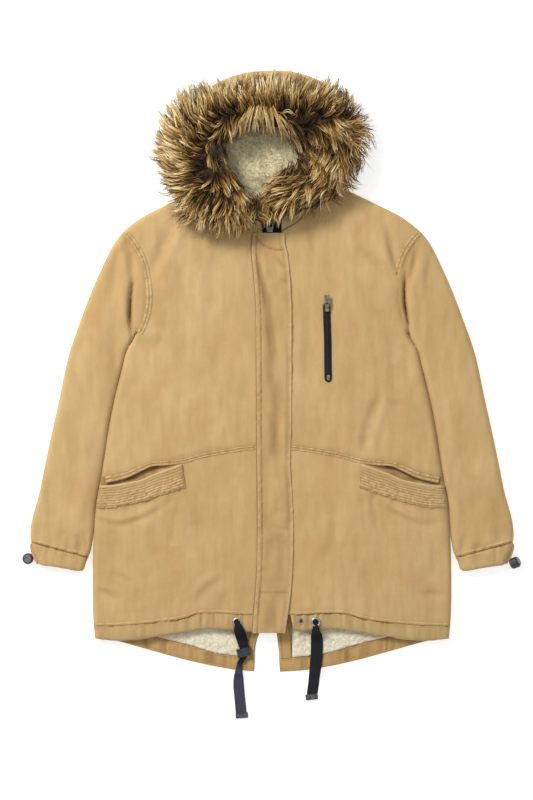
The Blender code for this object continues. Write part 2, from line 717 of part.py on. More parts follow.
def lathe(name, kind, at, profile, steps=20, axis=(0.0, 0.0, 1.0)):
    """Spins a closed profile of (radius, height) about an axis through at."""
    bm = bmesh.new()
    verts = [bm.verts.new(Vector((radius, 0.0, height)) * MM) for radius, height in profile]
    edges = [bm.edges.new((a, b)) for a, b in zip(verts, verts[1:] + verts[:1])]
    bmesh.ops.spin(
        bm, geom=verts + edges, cent=(0, 0, 0), axis=(0, 0, 1), dvec=(0, 0, 0),
        angle=2.0 * math.pi, steps=steps, use_merge=False, use_duplicate=False,
    )
    bmesh.ops.remove_doubles(bm, verts=bm.verts[:], dist=0.00002)
    stand(bm, at, axis)
    return add_part(name, bm, kind)


def main_zip():
    rows = 12

    def place(row, column):
        y = ZIP_BOTTOM + (ZIP_TOP - ZIP_BOTTOM) * row / (rows - 1)
        x = -ZIP_HALF + 2.0 * ZIP_HALF * column
        return Vector((x, y, ZIP_HEIGHT + ZIP_TAPE)), Vector((x, y, ZIP_HEIGHT))

    bm = bmesh.new()
    grid(bm, rows, 2, place)
    thicken(bm)
    add_part("main_zip_tape", bm, TAPE_BLACK)


def framed(name, kind, outer, inner, raise_by, collection=None):
    """A flat plate with a hole in it, raised into a body. Corners are (x, y, z) in millimetres."""
    bm = bmesh.new()
    outside = [bm.verts.new(Vector(corner) * MM) for corner in outer]
    inside = [bm.verts.new(Vector(corner) * MM) for corner in inner]
    for index in range(4):
        after = (index + 1) % 4
        bm.faces.new((outside[index], outside[after], inside[after], inside[index]))
    made = bmesh.ops.extrude_face_region(bm, geom=bm.faces[:], use_keep_orig=True)["geom"]
    raised = [item for item in made if isinstance(item, bmesh.types.BMVert)]
    bmesh.ops.translate(bm, vec=Vector(raise_by) * MM, verts=raised)
    return add_part(name, bm, kind, collection)


def zip_pull(name, kind, at, size, hole):
    """A flat pull along +Y; its root bar turns inside the arch of the slider."""
    x, y, top = at
    wide, long = size
    half_hole, hole_long = hole
    low = top + ARCH_OPEN / 2 - PULL_THICK / 2
    start = y - PULL_ROOT / 2
    outer = [
        (x - wide / 2, start, low), (x + wide / 2, start, low),
        (x + wide / 2, start + long, low), (x - wide / 2, start + long, low),
    ]
    inner = [
        (x - half_hole, start + PULL_ROOT, low), (x + half_hole, start + PULL_ROOT, low),
        (x + half_hole, start + PULL_ROOT + hole_long, low), (x - half_hole, start + PULL_ROOT + hole_long, low),
    ]
    return framed(name, kind, outer, inner, (0.0, 0.0, PULL_THICK))


def zip_slider(name, at, size, arch_y):
    """A slider with an arch on its back, joined into one body. at is the middle of its underside."""
    x, y, base = at
    wide, long, tall = size
    slider = box(name, METAL_DARK, (x, y, base + tall / 2), size, 0.8)
    top = base + tall
    foot = top - 1.0
    left = x - ARCH_WIDE / 2
    outer = [
        (left, arch_y - ARCH_LONG / 2, foot), (left, arch_y + ARCH_LONG / 2, foot),
        (left, arch_y + ARCH_LONG / 2, top + ARCH_OPEN + ARCH_BAR),
        (left, arch_y - ARCH_LONG / 2, top + ARCH_OPEN + ARCH_BAR),
    ]
    half = ARCH_LONG / 2 - ARCH_BAR
    inner = [
        (left, arch_y - half, top - 0.4), (left, arch_y + half, top - 0.4),
        (left, arch_y + half, top + ARCH_OPEN), (left, arch_y - half, top + ARCH_OPEN),
    ]
    arch = framed(f"{name}_arch", METAL_DARK, outer, inner, (ARCH_WIDE, 0.0, 0.0), TOOLS)
    arch.hide_render = True
    arch.display_type = "WIRE"
    joined = slider.modifiers.new("arch", "BOOLEAN")
    joined.operation = "UNION"
    joined.solver = "EXACT"
    joined.object = arch
    return slider


def chest_zip():
    rows = 5

    def surface(x, y):
        return cloth(x, y, BODY_BORDERS, True)

    def plan(row, column):
        share = row / (rows - 1)
        y = CHEST_ZIP_TOP + (CHEST_ZIP_BOTTOM - CHEST_ZIP_TOP) * share
        x = CHEST_ZIP_X + CHEST_ZIP_LEAN * (share - 0.5) + CHEST_ZIP_WIDTH * (column / 2.0 - 0.5)
        return Vector((x, y, 0.0))

    patch("chest_zip_tape", TAPE_BLACK, rows, 3, plan, surface, 0.5, CHEST_TAPE)
    top = surface(CHEST_ZIP_X, CHEST_ZIP_TOP)[0].z + 0.5 + CHEST_TAPE + SEAM_GAP
    zip_slider("chest_zip_slider", (99.0, 248.5, top), (8.2, 15.0, 3.4), 252.0)
    zip_pull("chest_zip_pull", METAL_DARK, (99.0, 252.0, top + 3.4), (8.6, 19.5), (1.8, 4.6))
    box("chest_zip_stop", METAL_DARK, (101.4, 123.0, top + 1.0), (6.0, 10.0, 2.0), 0.5)


def hood_rim(angle):
    """Edge of the hood's opening, hidden under the fur."""
    reach = fur_row(angle)[0] + HOOD_RIM_MARGIN
    turn = math.radians(angle)
    return Vector((FUR_MIDDLE.x + reach * math.cos(turn), FUR_MIDDLE.y + reach * math.sin(turn), HOOD_RIM_HEIGHT))


def fur_row(angle):
    """Inner and outer reach at an angle, eased between the table's rows."""
    for low, high in zip(FUR, FUR[1:]):
        if angle <= high.angle or high is FUR[-1]:
            share = (angle - low.angle) / (high.angle - low.angle)
            share = max(0.0, min(1.0, share))
            ease = share * share * (3.0 - 2.0 * share)
            return low.inner + (high.inner - low.inner) * ease, low.outer + (high.outer - low.outer) * ease
    return FUR[-1].inner, FUR[-1].outer


def hood_path(index, inset, lift, first):
    """Section of the hood from its rim round the outline to the back neck seam."""
    outline = HOOD_OUTLINE[index]
    middle = Vector((0.0, min(560.0, outline.y + 12.0), 0.0))
    at = vec(outline)
    inward = (middle - at).normalized()
    angle = math.degrees(math.atan2(outline.y - FUR_MIDDLE.y, outline.x - FUR_MIDDLE.x))
    if angle < -60.0:
        angle += 360.0
    rim = hood_rim(angle)
    share = index / (len(HOOD_OUTLINE) - 1)
    chord = Vector((HOOD_CHORD * math.cos(math.pi * share), HOOD_CHORD_Y + inset, 0.0))
    foot = at + inward * (14.0 + inset)
    points = [
        rim,
        rim.lerp(at + Vector((0.0, 0.0, 31.0)), 0.55),
        at + inward * (6.0 + inset) + Vector((0.0, 0.0, 25.0 - inset)),
        at + inward * inset + Vector((0.0, 0.0, 13.0)),
        at + inward * (4.0 + inset) + Vector((0.0, 0.0, 3.5 + lift)),
        foot + Vector((0.0, 0.0, lift)),
        foot.lerp(chord, 0.5) + Vector((0.0, 0.0, lift)),
        chord + Vector((0.0, 0.0, lift)),
    ]
    return points[first:]


def hood_shell():
    bm = bmesh.new()
    count = len(HOOD_OUTLINE)

    def place(row, column):
        point = hood_path(row, 0.0, 0.0, 0)[column]
        return point, point

    grid(bm, count, 8, place)
    steps = 6
    for side, index in ((1, 0), (-1, count - 1)):
        path = hood_path(index, 0.0, 0.0, 0)
        start_angle = math.degrees(math.atan2(path[0].y - FUR_MIDDLE.y, path[0].x - FUR_MIDDLE.x))
        end_angle = -66.0 if side > 0 else 270.0
        if side < 0 and start_angle < 0.0:
            start_angle += 360.0

        def place_strip(row, column, side=side, path=path, start=start_angle, end=end_angle):
            share = row / (steps - 1)
            rim = hood_rim(start + (end - start) * share)
            neck = along(NECKLINE, 1.0 - share)
            seam = Vector((neck.x * side, neck.y + 2.4, 26.4))
            seam.x = max(abs(seam.x), TUCK + 0.3) * side
            if abs(rim.x) < TUCK + 0.5 or rim.x * side < 0:
                rim.x = (TUCK + 0.5) * side
            if row == 0:
                return path[column], path[column]
            middle = rim.lerp(seam, 0.55)
            middle.z += 1.0
            point = (rim, middle, seam)[column]
            return point, point

        grid(bm, steps, 3, place_strip)
    bmesh.ops.remove_doubles(bm, verts=bm.verts[:], dist=0.00002)
    bmesh.ops.recalc_face_normals(bm, faces=bm.faces[:])
    bm.normal_update()
    highest = max(bm.faces, key=lambda face: face.calc_center_median().z)
    if highest.normal.z < 0:
        bmesh.ops.reverse_faces(bm, faces=bm.faces[:])
    wall_by_normals(bm, HOOD_COTTON)
    thicken(bm)
    add_part("hood_shell", bm, COTTON_TAN)


def hood_lining():
    bm = bmesh.new()
    count = len(HOOD_OUTLINE)

    def place(row, column):
        point = hood_path(row, HOOD_COTTON + 2.2, HOOD_COTTON + 0.6, 2)[column]
        return point, point

    grid(bm, count, 6, place)
    bmesh.ops.recalc_face_normals(bm, faces=bm.faces[:])
    bm.normal_update()
    if sum(face.normal.z * face.calc_area() for face in bm.faces) > 0:
        bmesh.ops.reverse_faces(bm, faces=bm.faces[:])
    wall_by_normals(bm, HOOD_PILE)
    thicken(bm)
    add_part("hood_lining", bm, PILE_CREAM)


def fur_trim():
    """One plain solid of the locks' reach, open at the chin."""
    steps = 30
    corners = len(FUR_SECTION)
    bm = bmesh.new()

    def place(row, column):
        angle = FUR[0].angle + (FUR[-1].angle - FUR[0].angle) * row / (steps - 1)
        inner, outer = fur_row(angle)
        across, up = FUR_SECTION[column % corners]
        reach = inner + (outer - inner) * across
        turn = math.radians(angle)
        point = Vector((
            FUR_MIDDLE.x + reach * math.cos(turn), FUR_MIDDLE.y + reach * math.sin(turn),
            FUR_UNDER + (FUR_TOP - FUR_UNDER) * up,
        ))
        return point, point

    grid(bm, steps, corners + 1, place, wrap=True)
    bmesh.ops.remove_doubles(bm, verts=bm.verts[:], dist=0.00002)
    bmesh.ops.holes_fill(bm, edges=[edge for edge in bm.edges if edge.is_boundary], sides=corners)
    add_part("fur_trim", bm, FUR_BROWN)


def tail_pieces(word, side):
    vent_x = [Point(p.y, p.x) for p in reversed(VENT_EDGE[side])]
    width = VENT_FACING[side]
    floor = TAIL_SHELL + SEAM_GAP

    def vent_at(y):
        return height_at(vent_x, y)

    def slab(name, kind, rows, columns, plan, thick):
        def place(row, column):
            flat = plan(row, column)
            base = Vector((flat.x * side, flat.y, floor))
            return base + Vector((0.0, 0.0, thick)), base
        bm = bmesh.new()
        grid(bm, rows, columns, place)
        thicken(bm)
        add_part(name, bm, kind)

    def band(row, column):
        share = column / 7.0
        start = vent_at(-400.0) + 1.2
        x = start + (300.0 - start) * share
        low, high = height_at(TAIL_EDGE, x) + 0.6, height_at(TAIL_BAND_TOP, x) - (2.0 if column < 2 else 0.0)
        return Vector((x, low + (high - low) * row, 0.0))

    def facing(row, column):
        foot = height_at(TAIL_BAND_TOP, vent_at(-380.0) + width) - 1.0
        y = -322.0 + (foot + 322.0) * row / 2.0
        return Vector((vent_at(y) + 1.2 + width * column, y, 0.0))

    def lining(row, column):
        share = column / 7.0
        start = vent_at(-387.0) + width + 2.4
        x = start + (300.0 - start) * share
        low, high = height_at(TAIL_BAND_TOP, x) + 1.4, -322.0
        return Vector((x, low + (high - low) * row / 2.0, 0.0))

    slab(f"tail_band_{word}", COTTON_TAN, 2, 8, band, COTTON)
    slab(f"vent_facing_{word}", COTTON_TAN, 3, 2, facing, COTTON + 0.6)
    slab(f"tail_lining_{word}", PILE_CREAM, 3, 8, lining, TAIL_PILE)


def hem_tape(word):
    rows = HEM_TAPE[word]
    bm = bmesh.new()

    def place(row, column):
        here = rows[row]
        before, after = rows[max(row - 1, 0)], rows[min(row + 1, len(rows) - 1)]
        run = Vector((after.x - before.x, after.y - before.y, 0.0)).normalized()
        slope = Vector((after.x - before.x, after.y - before.y, after.under - before.under)).normalized()
        sideways = Vector((-run.y, run.x, 0.0))
        up = sideways.cross(slope)
        up = up if up.z > 0 else -up
        base = Vector((here.x, here.y, here.under)) + sideways * here.width * (column - 0.5)
        return base + up * TAPE_THICK, base

    grid(bm, len(rows), 2, place)
    thicken(bm)
    add_part(f"hem_tape_{word}", bm, TAPE_BLACK)
    at, turn = CLIP[word]
    box(f"tape_clip_{word}", METAL_DARK, (at.x, at.y, 0.3 + CLIP_THICK / 2), (CLIP_WIDTH, CLIP_LENGTH, CLIP_THICK), 0.7, turn)


def tape_slide():
    """A flat loop that the tape runs through."""
    wide, long, tall = SLIDE_SIZE
    slot_wide, slot_tall = SLIDE_SLOT
    bm = bmesh.new()
    outer = [(-wide / 2, 0.0), (wide / 2, 0.0), (wide / 2 - 1.5, tall), (-wide / 2 + 1.5, tall)]
    low = (tall - slot_tall) / 2
    inner = [(-slot_wide / 2, low), (slot_wide / 2, low), (slot_wide / 2, low + slot_tall), (-slot_wide / 2, low + slot_tall)]
    outside = [bm.verts.new(Vector((x, -long / 2, z)) * MM) for x, z in outer]
    inside = [bm.verts.new(Vector((x, -long / 2, z)) * MM) for x, z in inner]
    for index in range(4):
        after = (index + 1) % 4
        bm.faces.new((outside[index], outside[after], inside[after], inside[index]))
    made = bmesh.ops.extrude_face_region(bm, geom=bm.faces[:], use_keep_orig=True)["geom"]
    moved = [item for item in made if isinstance(item, bmesh.types.BMVert)]
    bmesh.ops.translate(bm, vec=(0, long * MM, 0), verts=moved)
    bmesh.ops.rotate(bm, cent=(0, 0, 0), matrix=Matrix.Rotation(math.radians(SLIDE_TURN), 3, "Z"), verts=bm.verts[:])
    bmesh.ops.translate(bm, vec=Vector((SLIDE_AT.x, SLIDE_AT.y, SLIDE_UNDER)) * MM, verts=bm.verts[:])
    add_part("tape_slide_right", bm, PLASTIC_BLACK)


def hem_hardware(word, side):
    at = EYELET[side]
    base = band_point(at.x, at.y)[0].z + 0.7
    profile = (
        (EYELET_INNER, 0.0), (EYELET_OUTER, 0.0), (EYELET_OUTER - 0.6, 1.2),
        (EYELET_OUTER - 2.2, EYELET_THICK), (EYELET_INNER + 0.6, 1.8),
    )
    lathe(f"hem_eyelet_{word}", METAL_BRIGHT, (at.x * side, at.y, base), profile, 24)


def hem_stud():
    base = band_point(STUD.x, STUD.y)[0].z + 0.7
    profile = ((0.0, 0.0), (STUD_RADIUS, 0.0), (STUD_RADIUS, 1.4), (3.4, 1.8), (3.0, STUD_THICK), (0.0, STUD_THICK))
    lathe("hem_snap_stud", METAL_BRIGHT, (STUD.x, STUD.y, base), profile, 20)


def cuff_lock(word, side):
    """A barrel with a push button that clamps the cord."""
    at, axis = LOCK_AT[side], LOCK_AXIS[side]
    bore = LOCK_RADIUS - LOCK_WALL
    barrel = (
        (0.0, 0.0), (LOCK_RADIUS - 1.5, 0.0), (LOCK_RADIUS, 2.0), (LOCK_RADIUS, LOCK_HEIGHT - 3.0),
        (LOCK_RADIUS - 1.2, LOCK_HEIGHT), (bore, LOCK_HEIGHT), (bore, LOCK_FLOOR), (0.0, LOCK_FLOOR),
    )
    lathe(f"cuff_lock_{word}", PLASTIC_BLACK, at, barrel, 16, axis)
    low = LOCK_FLOOR + BUTTON_LIFT
    high = low + BUTTON_TALL
    button = (
        (0.0, low), (BUTTON_RADIUS, low), (BUTTON_RADIUS, high - 0.8), (BUTTON_RADIUS - 0.8, high), (0.0, high),
    )
    lathe(f"cuff_button_{word}", METAL_DARK, at, button, 20, axis)


clear_scene()
PARTS = bpy.data.collections.new("fur_trimmed_parka")
bpy.context.scene.collection.children.link(PARTS)
TOOLS = bpy.data.collections.new("joining_bodies")
bpy.context.scene.collection.children.link(TOOLS)

back_panel()
for word, side in SIDES.items():
    front_upper(word, side)
    front_lower(word, side)
    hem_band(word, side)
    sleeve(word, side)
    cuff(word, side)
    pocket_welt(word, side)
    tail_pieces(word, side)
    hem_hardware(word, side)
    hem_tape(word)
    cuff_lock(word, side)
storm_flap()
main_zip()
zip_slider("main_zip_slider", (-4.0, 389.0, 22.4), (11.0, 9.6, 5.0), 390.2)
zip_pull("main_zip_pull", METAL_BRIGHT, (-4.0, 390.2, 27.4), (12.4, 13.6), (3.9, 9.2))
chest_zip()
hood_shell()
hood_lining()
fur_trim()
tape_slide()
hem_stud()
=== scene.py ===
# Fur trimmed parka laid flat: the looks, piece by piece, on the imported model.
import math

import bpy
import numpy as np
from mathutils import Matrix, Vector


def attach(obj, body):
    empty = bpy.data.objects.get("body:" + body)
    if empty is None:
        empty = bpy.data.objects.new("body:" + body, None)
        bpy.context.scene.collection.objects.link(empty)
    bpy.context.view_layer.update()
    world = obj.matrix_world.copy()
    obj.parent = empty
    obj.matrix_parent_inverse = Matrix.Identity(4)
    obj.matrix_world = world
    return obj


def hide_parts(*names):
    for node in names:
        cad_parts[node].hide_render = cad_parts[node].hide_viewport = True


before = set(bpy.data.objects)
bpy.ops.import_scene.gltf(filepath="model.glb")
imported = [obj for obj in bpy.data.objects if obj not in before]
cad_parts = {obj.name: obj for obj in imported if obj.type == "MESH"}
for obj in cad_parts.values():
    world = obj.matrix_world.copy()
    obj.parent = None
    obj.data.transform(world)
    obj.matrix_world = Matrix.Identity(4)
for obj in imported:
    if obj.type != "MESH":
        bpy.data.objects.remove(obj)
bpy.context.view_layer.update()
mm = 0.001


# ---- camera and room
view = {"aimX": -0.0099, "aimY": 0.0828, "height": 4.0, "cloth": 0.02, "tall": 1.44, "sensor": 36.0,
        "farEnd": 50.0}
light = {"keyAt": (-1.9, 2.1, 2.5), "keyPower": 118.0, "keySize": 1.1,
         "fillAt": (0.6, -0.4, 3.4), "fillPower": 22.0, "fillSize": 4.0, "towards": (0.0, 0.08, 0.0),
         "world": (0.95, 0.97, 1.0), "worldPower": 0.42, "floor": (0.96, 0.96, 0.96), "floorGlow": 0.50,
         "floorSize": 80.0, "floorDrop": 0.0005, "floorRough": 0.85}


def pickNone():
    if bpy.context.object and bpy.context.object.mode != "OBJECT":
        bpy.ops.object.mode_set(mode="OBJECT")
    bpy.ops.object.select_all(action="DESELECT")


def pickOnly(piece):
    pickNone()
    piece.select_set(True)
    bpy.context.view_layer.objects.active = piece


def startEdit(piece):
    pickOnly(piece)
    bpy.ops.object.mode_set(mode="EDIT")
    bpy.ops.mesh.select_all(action="SELECT")


def endEdit():
    bpy.ops.object.mode_set(mode="OBJECT")


def areaLight(name, place, power, size):
    pickNone()
    bpy.ops.object.light_add(type="AREA", location=place)
    lamp = bpy.context.object
    lamp.name = name
    lamp.data.energy = power
    lamp.data.size = size
    lamp.rotation_euler = (Vector(light["towards"]) - Vector(place)).to_track_quat("-Z", "Y").to_euler()


def makeRoom():
    pickNone()
    bpy.ops.object.camera_add(location=(view["aimX"], view["aimY"], view["height"]), rotation=(0.0, 0.0, 0.0))
    camera = bpy.context.object
    camera.name = "view_from_above"
    camera.data.sensor_width = view["sensor"]
    camera.data.lens = view["sensor"] * (view["height"] - view["cloth"]) / view["tall"]
    camera.data.clip_end = view["farEnd"]
    bpy.context.scene.camera = camera
    areaLight("key_light", light["keyAt"], light["keyPower"], light["keySize"])
    areaLight("fill_light", light["fillAt"], light["fillPower"], light["fillSize"])
    world = bpy.data.worlds.new("pale_room")
    world.use_nodes = True
    glow = world.node_tree.nodes["Background"]
    glow.inputs["Color"].default_value = light["world"] + (1.0,)
    glow.inputs["Strength"].default_value = light["worldPower"]
    bpy.context.scene.world = world
    bpy.context.scene.view_settings.view_transform = "Standard"
    pickNone()
    bpy.ops.mesh.primitive_plane_add(size=light["floorSize"], location=(0.0, 0.0, -light["floorDrop"]))
    floor = bpy.context.object
    floor.name = "pale_floor"
    paint = bpy.data.materials.new("floorWhite")
    paint.use_nodes = True
    shader = paint.node_tree.nodes["Principled BSDF"]
    shader.inputs["Base Color"].default_value = light["floor"] + (1.0,)
    shader.inputs["Roughness"].default_value = light["floorRough"]
    shader.inputs["Emission Color"].default_value = (1.0, 1.0, 1.0, 1.0)
    shader.inputs["Emission Strength"].default_value = light["floorGlow"]
    floor.data.materials.append(paint)


makeRoom()
print("room ready")


# ---- lines, distances and soft noise, all in millimetres
def unit(value):
    return np.clip(value, 0.0, 1.0)


def evenly(count):
    return np.linspace(0.0, 1.0, count)


def joined(*columns):
    return np.stack(columns, axis=-1)


def bell(away, wide):
    return np.exp(-(away / wide) ** 2)


def runLength(line):
    # length from the first point to each point of the line
    return np.concatenate([[0.0], np.cumsum(np.linalg.norm(np.diff(line, axis=0), axis=1))])


def softLine(rows, step=3.0):
    # a smooth curve through the given points
    spots = np.array(rows, float)
    chord = np.linalg.norm(np.diff(spots, axis=0), axis=1)
    at = runLength(spots)
    if len(spots) < 3:
        slope = np.repeat(np.diff(spots, axis=0) / chord[:, None], 2, axis=0)
    else:
        slope = np.gradient(spots, at, axis=0)
    out = []
    for k, run in enumerate(chord):
        t = np.linspace(0.0, 1.0, max(2, int(run / step) + 1), endpoint=False)[:, None]
        out.append((2 * t ** 3 - 3 * t ** 2 + 1) * spots[k] + (t ** 3 - 2 * t ** 2 + t) * run * slope[k]
                   + (3 * t ** 2 - 2 * t ** 3) * spots[k + 1] + (t ** 3 - t ** 2) * run * slope[k + 1])
    out.append(spots[-1:])
    return np.concatenate(out)


def lineLength(line):
    return float(np.linalg.norm(np.diff(line, axis=0), axis=1).sum())


def atShares(line, shares):
    # points at given shares of the line's length
    run = runLength(line)
    want = np.asarray(shares) * run[-1]
    return np.stack([np.interp(want, run, line[:, k]) for k in range(line.shape[1])], axis=-1)


def nearLine(x, y, line):
    # distance to the line, share along it and which side (+1 on its left)
    shape = np.shape(x)
    spots = joined(np.ravel(x), np.ravel(y))
    start, span = line[:-1], np.diff(line, axis=0)
    size = np.maximum((span ** 2).sum(axis=1), 1e-9)
    run = np.concatenate([[0.0], np.cumsum(np.sqrt(size))])
    off, share, side = (np.empty(len(spots)) for _ in range(3))
    for low in range(0, len(spots), 20000):
        some = spots[low:low + 20000]
        gap = some[:, None, :] - start[None]
        part = unit((gap * span[None]).sum(axis=2) / size)
        foot = gap - part[..., None] * span[None]
        far = (foot ** 2).sum(axis=2)
        best = far.argmin(axis=1)
        pick = np.arange(len(some)), best
        off[low:low + 20000] = np.sqrt(far[pick])
        share[low:low + 20000] = (run[best] + part[pick] * np.sqrt(size[best])) / run[-1]
        side[low:low + 20000] = np.sign(span[best, 0] * foot[pick][:, 1] - span[best, 1] * foot[pick][:, 0])
    return off.reshape(shape), share.reshape(shape), side.reshape(shape)


def softNoise(x, y, spanX, spanY, seed):
    # smooth random waves, spanX and spanY millimetres long
    table = np.random.default_rng(seed).uniform(-1.0, 1.0, (64, 64))
    u, v = np.asarray(x) / spanX + 31.7, np.asarray(y) / spanY + 17.3
    i, j = np.floor(u).astype(int), np.floor(v).astype(int)
    fu, fv = u - i, v - j
    fu, fv = fu * fu * (3 - 2 * fu), fv * fv * (3 - 2 * fv)
    low = table[i % 64, j % 64] * (1 - fu) + table[(i + 1) % 64, j % 64] * fu
    high = table[i % 64, (j + 1) % 64] * (1 - fu) + table[(i + 1) % 64, (j + 1) % 64] * fu
    return low * (1 - fv) + high * fv


def noiseOver(spots, spanX, spanY, seed):
    return softNoise(spots[..., 0], spots[..., 1], spanX, spanY, seed)


def foldField(x, y, rows):
    # each row: the fold's half width, its height (negative for a trough) and the places it runs through
    total = np.zeros(np.shape(x))
    for wide, high, *run in rows:
        off, share = nearLine(x, y, softLine(np.reshape(run, (-1, 2)), 8.0))[:2]
        total += high * bell(off, wide) * unit(np.sin(np.pi * share)) ** 0.55
    return total


def coonsGrid(low, high, left, right, acrossShares, alongShares):
    # a grid of points between four border lines: rows run along, columns across
    u, v = np.asarray(acrossShares)[None, :, None], np.asarray(alongShares)[:, None, None]
    lowAt, highAt = atShares(low, acrossShares)[None], atShares(high, acrossShares)[None]
    leftAt, rightAt = atShares(left, alongShares)[:, None], atShares(right, alongShares)[:, None]
    corners = ((1 - v) * ((1 - u) * lowAt[:, :1] + u * lowAt[:, -1:])
               + v * ((1 - u) * highAt[:, :1] + u * highAt[:, -1:]))
    return (1 - v) * lowAt + v * highAt + (1 - u) * leftAt + u * rightAt - corners


def turnUp(piece, way=1.0):
    # turns a sheet so that its highest faces look up (or its lowest ones down)
    faces = piece.data.polygons
    count = len(faces)
    centres, normals = np.empty(count * 3), np.empty(count * 3)
    faces.foreach_get("center", centres)
    faces.foreach_get("normal", normals)
    centres, normals = centres.reshape(-1, 3), normals.reshape(-1, 3)
    outer = (centres[:, 2] * way) >= np.quantile(centres[:, 2] * way, 0.8)
    if normals[outer, 2].sum() * way < 0:
        startEdit(piece)
        bpy.ops.mesh.flip_normals()
        endEdit()


def sheetMesh(name, spots, wrap=False):
    # a grid of faces laid over rows and columns of points
    rows, columns = spots.shape[:2]
    pickNone()
    bpy.ops.mesh.primitive_grid_add(x_subdivisions=columns - 1, y_subdivisions=rows - 1, size=1.0)
    piece = bpy.context.object
    piece.name = piece.data.name = name
    piece.data.vertices.foreach_set("co", (spots.reshape(-1, 3) * mm).ravel())
    piece.data.update()
    if wrap:
        startEdit(piece)
        bpy.ops.mesh.remove_doubles(threshold=0.00003)
        endEdit()
    return piece


def addMark(piece, name, values):
    # a number for each point, for the materials
    mark = piece.data.attributes.new(name, "FLOAT", "POINT")
    mark.data.foreach_set("value", np.asarray(values, np.float32).ravel())


def useModifier(piece, kind, **settings):
    pickOnly(piece)
    step = piece.modifiers.new(kind.lower(), kind)
    for key, value in settings.items():
        setattr(step, key, value)
    bpy.ops.object.modifier_apply(modifier=step.name)


def smoothAll(piece, degrees=50.0):
    pickOnly(piece)
    bpy.ops.object.shade_smooth_by_angle(angle=math.radians(degrees))


def finishPiece(piece, paint, body, stands=()):
    piece.data.materials.clear()
    piece.data.materials.append(paint)
    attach(piece, body)
    if stands:
        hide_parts(*stands)
    return piece


# ---- materials: shared effects are node groups, the shaders stay in the materials
def newGroup(name, takes, gives):
    group = bpy.data.node_groups.new(name, "ShaderNodeTree")
    for word, kind, value in takes:
        socket = group.interface.new_socket(name=word, in_out="INPUT", socket_type="NodeSocket" + kind)
        if value is not None:
            socket.default_value = value
    for word in gives:
        group.interface.new_socket(name=word, in_out="OUTPUT", socket_type="NodeSocketFloat")
    return group, group.nodes.new("NodeGroupInput").outputs, group.nodes.new("NodeGroupOutput").inputs


def plug(tree, socket, value):
    # a number or colour is set on the socket, an output is linked to it
    if isinstance(value, bpy.types.NodeSocket):
        tree.links.new(value, socket)
    elif socket.type == "RGBA":
        socket.default_value = value + (1.0,)
    else:
        socket.default_value = value


def addNode(tree, kind, sockets=None, **settings):
    node = tree.nodes.new(kind)
    for key, value in settings.items():
        setattr(node, key, value)
    for key, value in (sockets or {}).items():
        plug(tree, node.inputs[key], value)
    return node


def mathNode(tree, operation, *values):
    return addNode(tree, "ShaderNodeMath", dict(enumerate(values)), operation=operation).outputs[0]


def weaker(tree, amount, share):
    return mathNode(tree, "MULTIPLY", amount, share)


def mixColour(tree, amount, first, second):
    node = addNode(tree, "ShaderNodeMix", {0: amount}, data_type="RGBA", blend_type="MIX")
    for key, value in ((6, first), (7, second)):
        plug(tree, node.inputs[key], value)
    return node.outputs[2]


def noiseNode(tree, where, scale, detail=3.0, rough=0.55):
    sockets = {"Vector": where, "Scale": scale, "Detail": detail, "Roughness": rough}
    return addNode(tree, "ShaderNodeTexNoise", sockets).outputs["Fac"]


def rampNode(tree, amount, low, high):
    return addNode(tree, "ShaderNodeMapRange",
                   {"Value": amount, "From Min": low, "From Max": high}).outputs["Result"]


def mapped(tree, where, key, value):
    return addNode(tree, "ShaderNodeMapping", {"Vector": where, key: value}).outputs["Vector"]


def makeTwill():
    # fine diagonal ribs, broken up by uneven yarns
    tree, take, give = newGroup("twillWeave", [("Place", "Vector", None), ("Rib", "Float", 900.0)],
                                ["Height", "Mask"])
    turned = mapped(tree, take["Place"], "Rotation", (0.0, 0.0, math.radians(58.0)))
    rib = addNode(tree, "ShaderNodeTexWave",
                  {"Vector": turned, "Scale": take["Rib"], "Distortion": 1.2, "Detail": 1.0},
                  wave_type="BANDS", bands_direction="X")
    yarn = noiseNode(tree, mapped(tree, take["Place"], "Scale", (1.0, 0.12, 1.0)), 1500.0, 2.0)
    height = mathNode(tree, "ADD", weaker(tree, rib.outputs["Fac"], 0.6), weaker(tree, yarn, 0.5))
    plug(tree, give["Height"], height)
    plug(tree, give["Mask"], rampNode(tree, yarn, 0.35, 0.68))
    return tree


def makeWash():
    # cloudy fading of a washed dye, with streaks that run down the cloth
    tree, take, give = newGroup("washedDye", [("Place", "Vector", None), ("Cloud", "Float", 9.0)],
                                ["Cloud", "Streak", "Fleck"])
    cloud = noiseNode(tree, take["Place"], take["Cloud"], 4.0, 0.6)
    streak = noiseNode(tree, mapped(tree, take["Place"], "Scale", (1.0, 0.22, 0.6)), 62.0, 3.0)
    fleck = noiseNode(tree, take["Place"], 420.0, 2.0)
    plug(tree, give["Cloud"], rampNode(tree, cloud, 0.32, 0.7))
    plug(tree, give["Streak"], rampNode(tree, streak, 0.34, 0.68))
    plug(tree, give["Fleck"], rampNode(tree, fleck, 0.35, 0.7))
    return tree


twillWeave = makeTwill()
washedDye = makeWash()


def startPaint(name, roughness, metallic=0.0, sockets=None):
    paint = bpy.data.materials.new(name)
    paint.use_nodes = True
    tree = paint.node_tree
    shader = tree.nodes["Principled BSDF"]
    for key, value in {"Roughness": roughness, "Metallic": metallic, **(sockets or {})}.items():
        shader.inputs[key].default_value = value
    return paint, tree, shader


def placeOn(tree):
    return addNode(tree, "ShaderNodeTexCoord").outputs["Object"]


def effect(tree, group, place, **values):
    node = addNode(tree, "ShaderNodeGroup", node_tree=group)
    for word, value in {"Place": place, **values}.items():
        plug(tree, node.inputs[word], value)
    return node.outputs


def bumpNode(tree, shader, height, strength, distance):
    node = addNode(tree, "ShaderNodeBump", {"Height": height, "Strength": strength, "Distance": distance})
    plug(tree, shader.inputs["Normal"], node.outputs["Normal"])


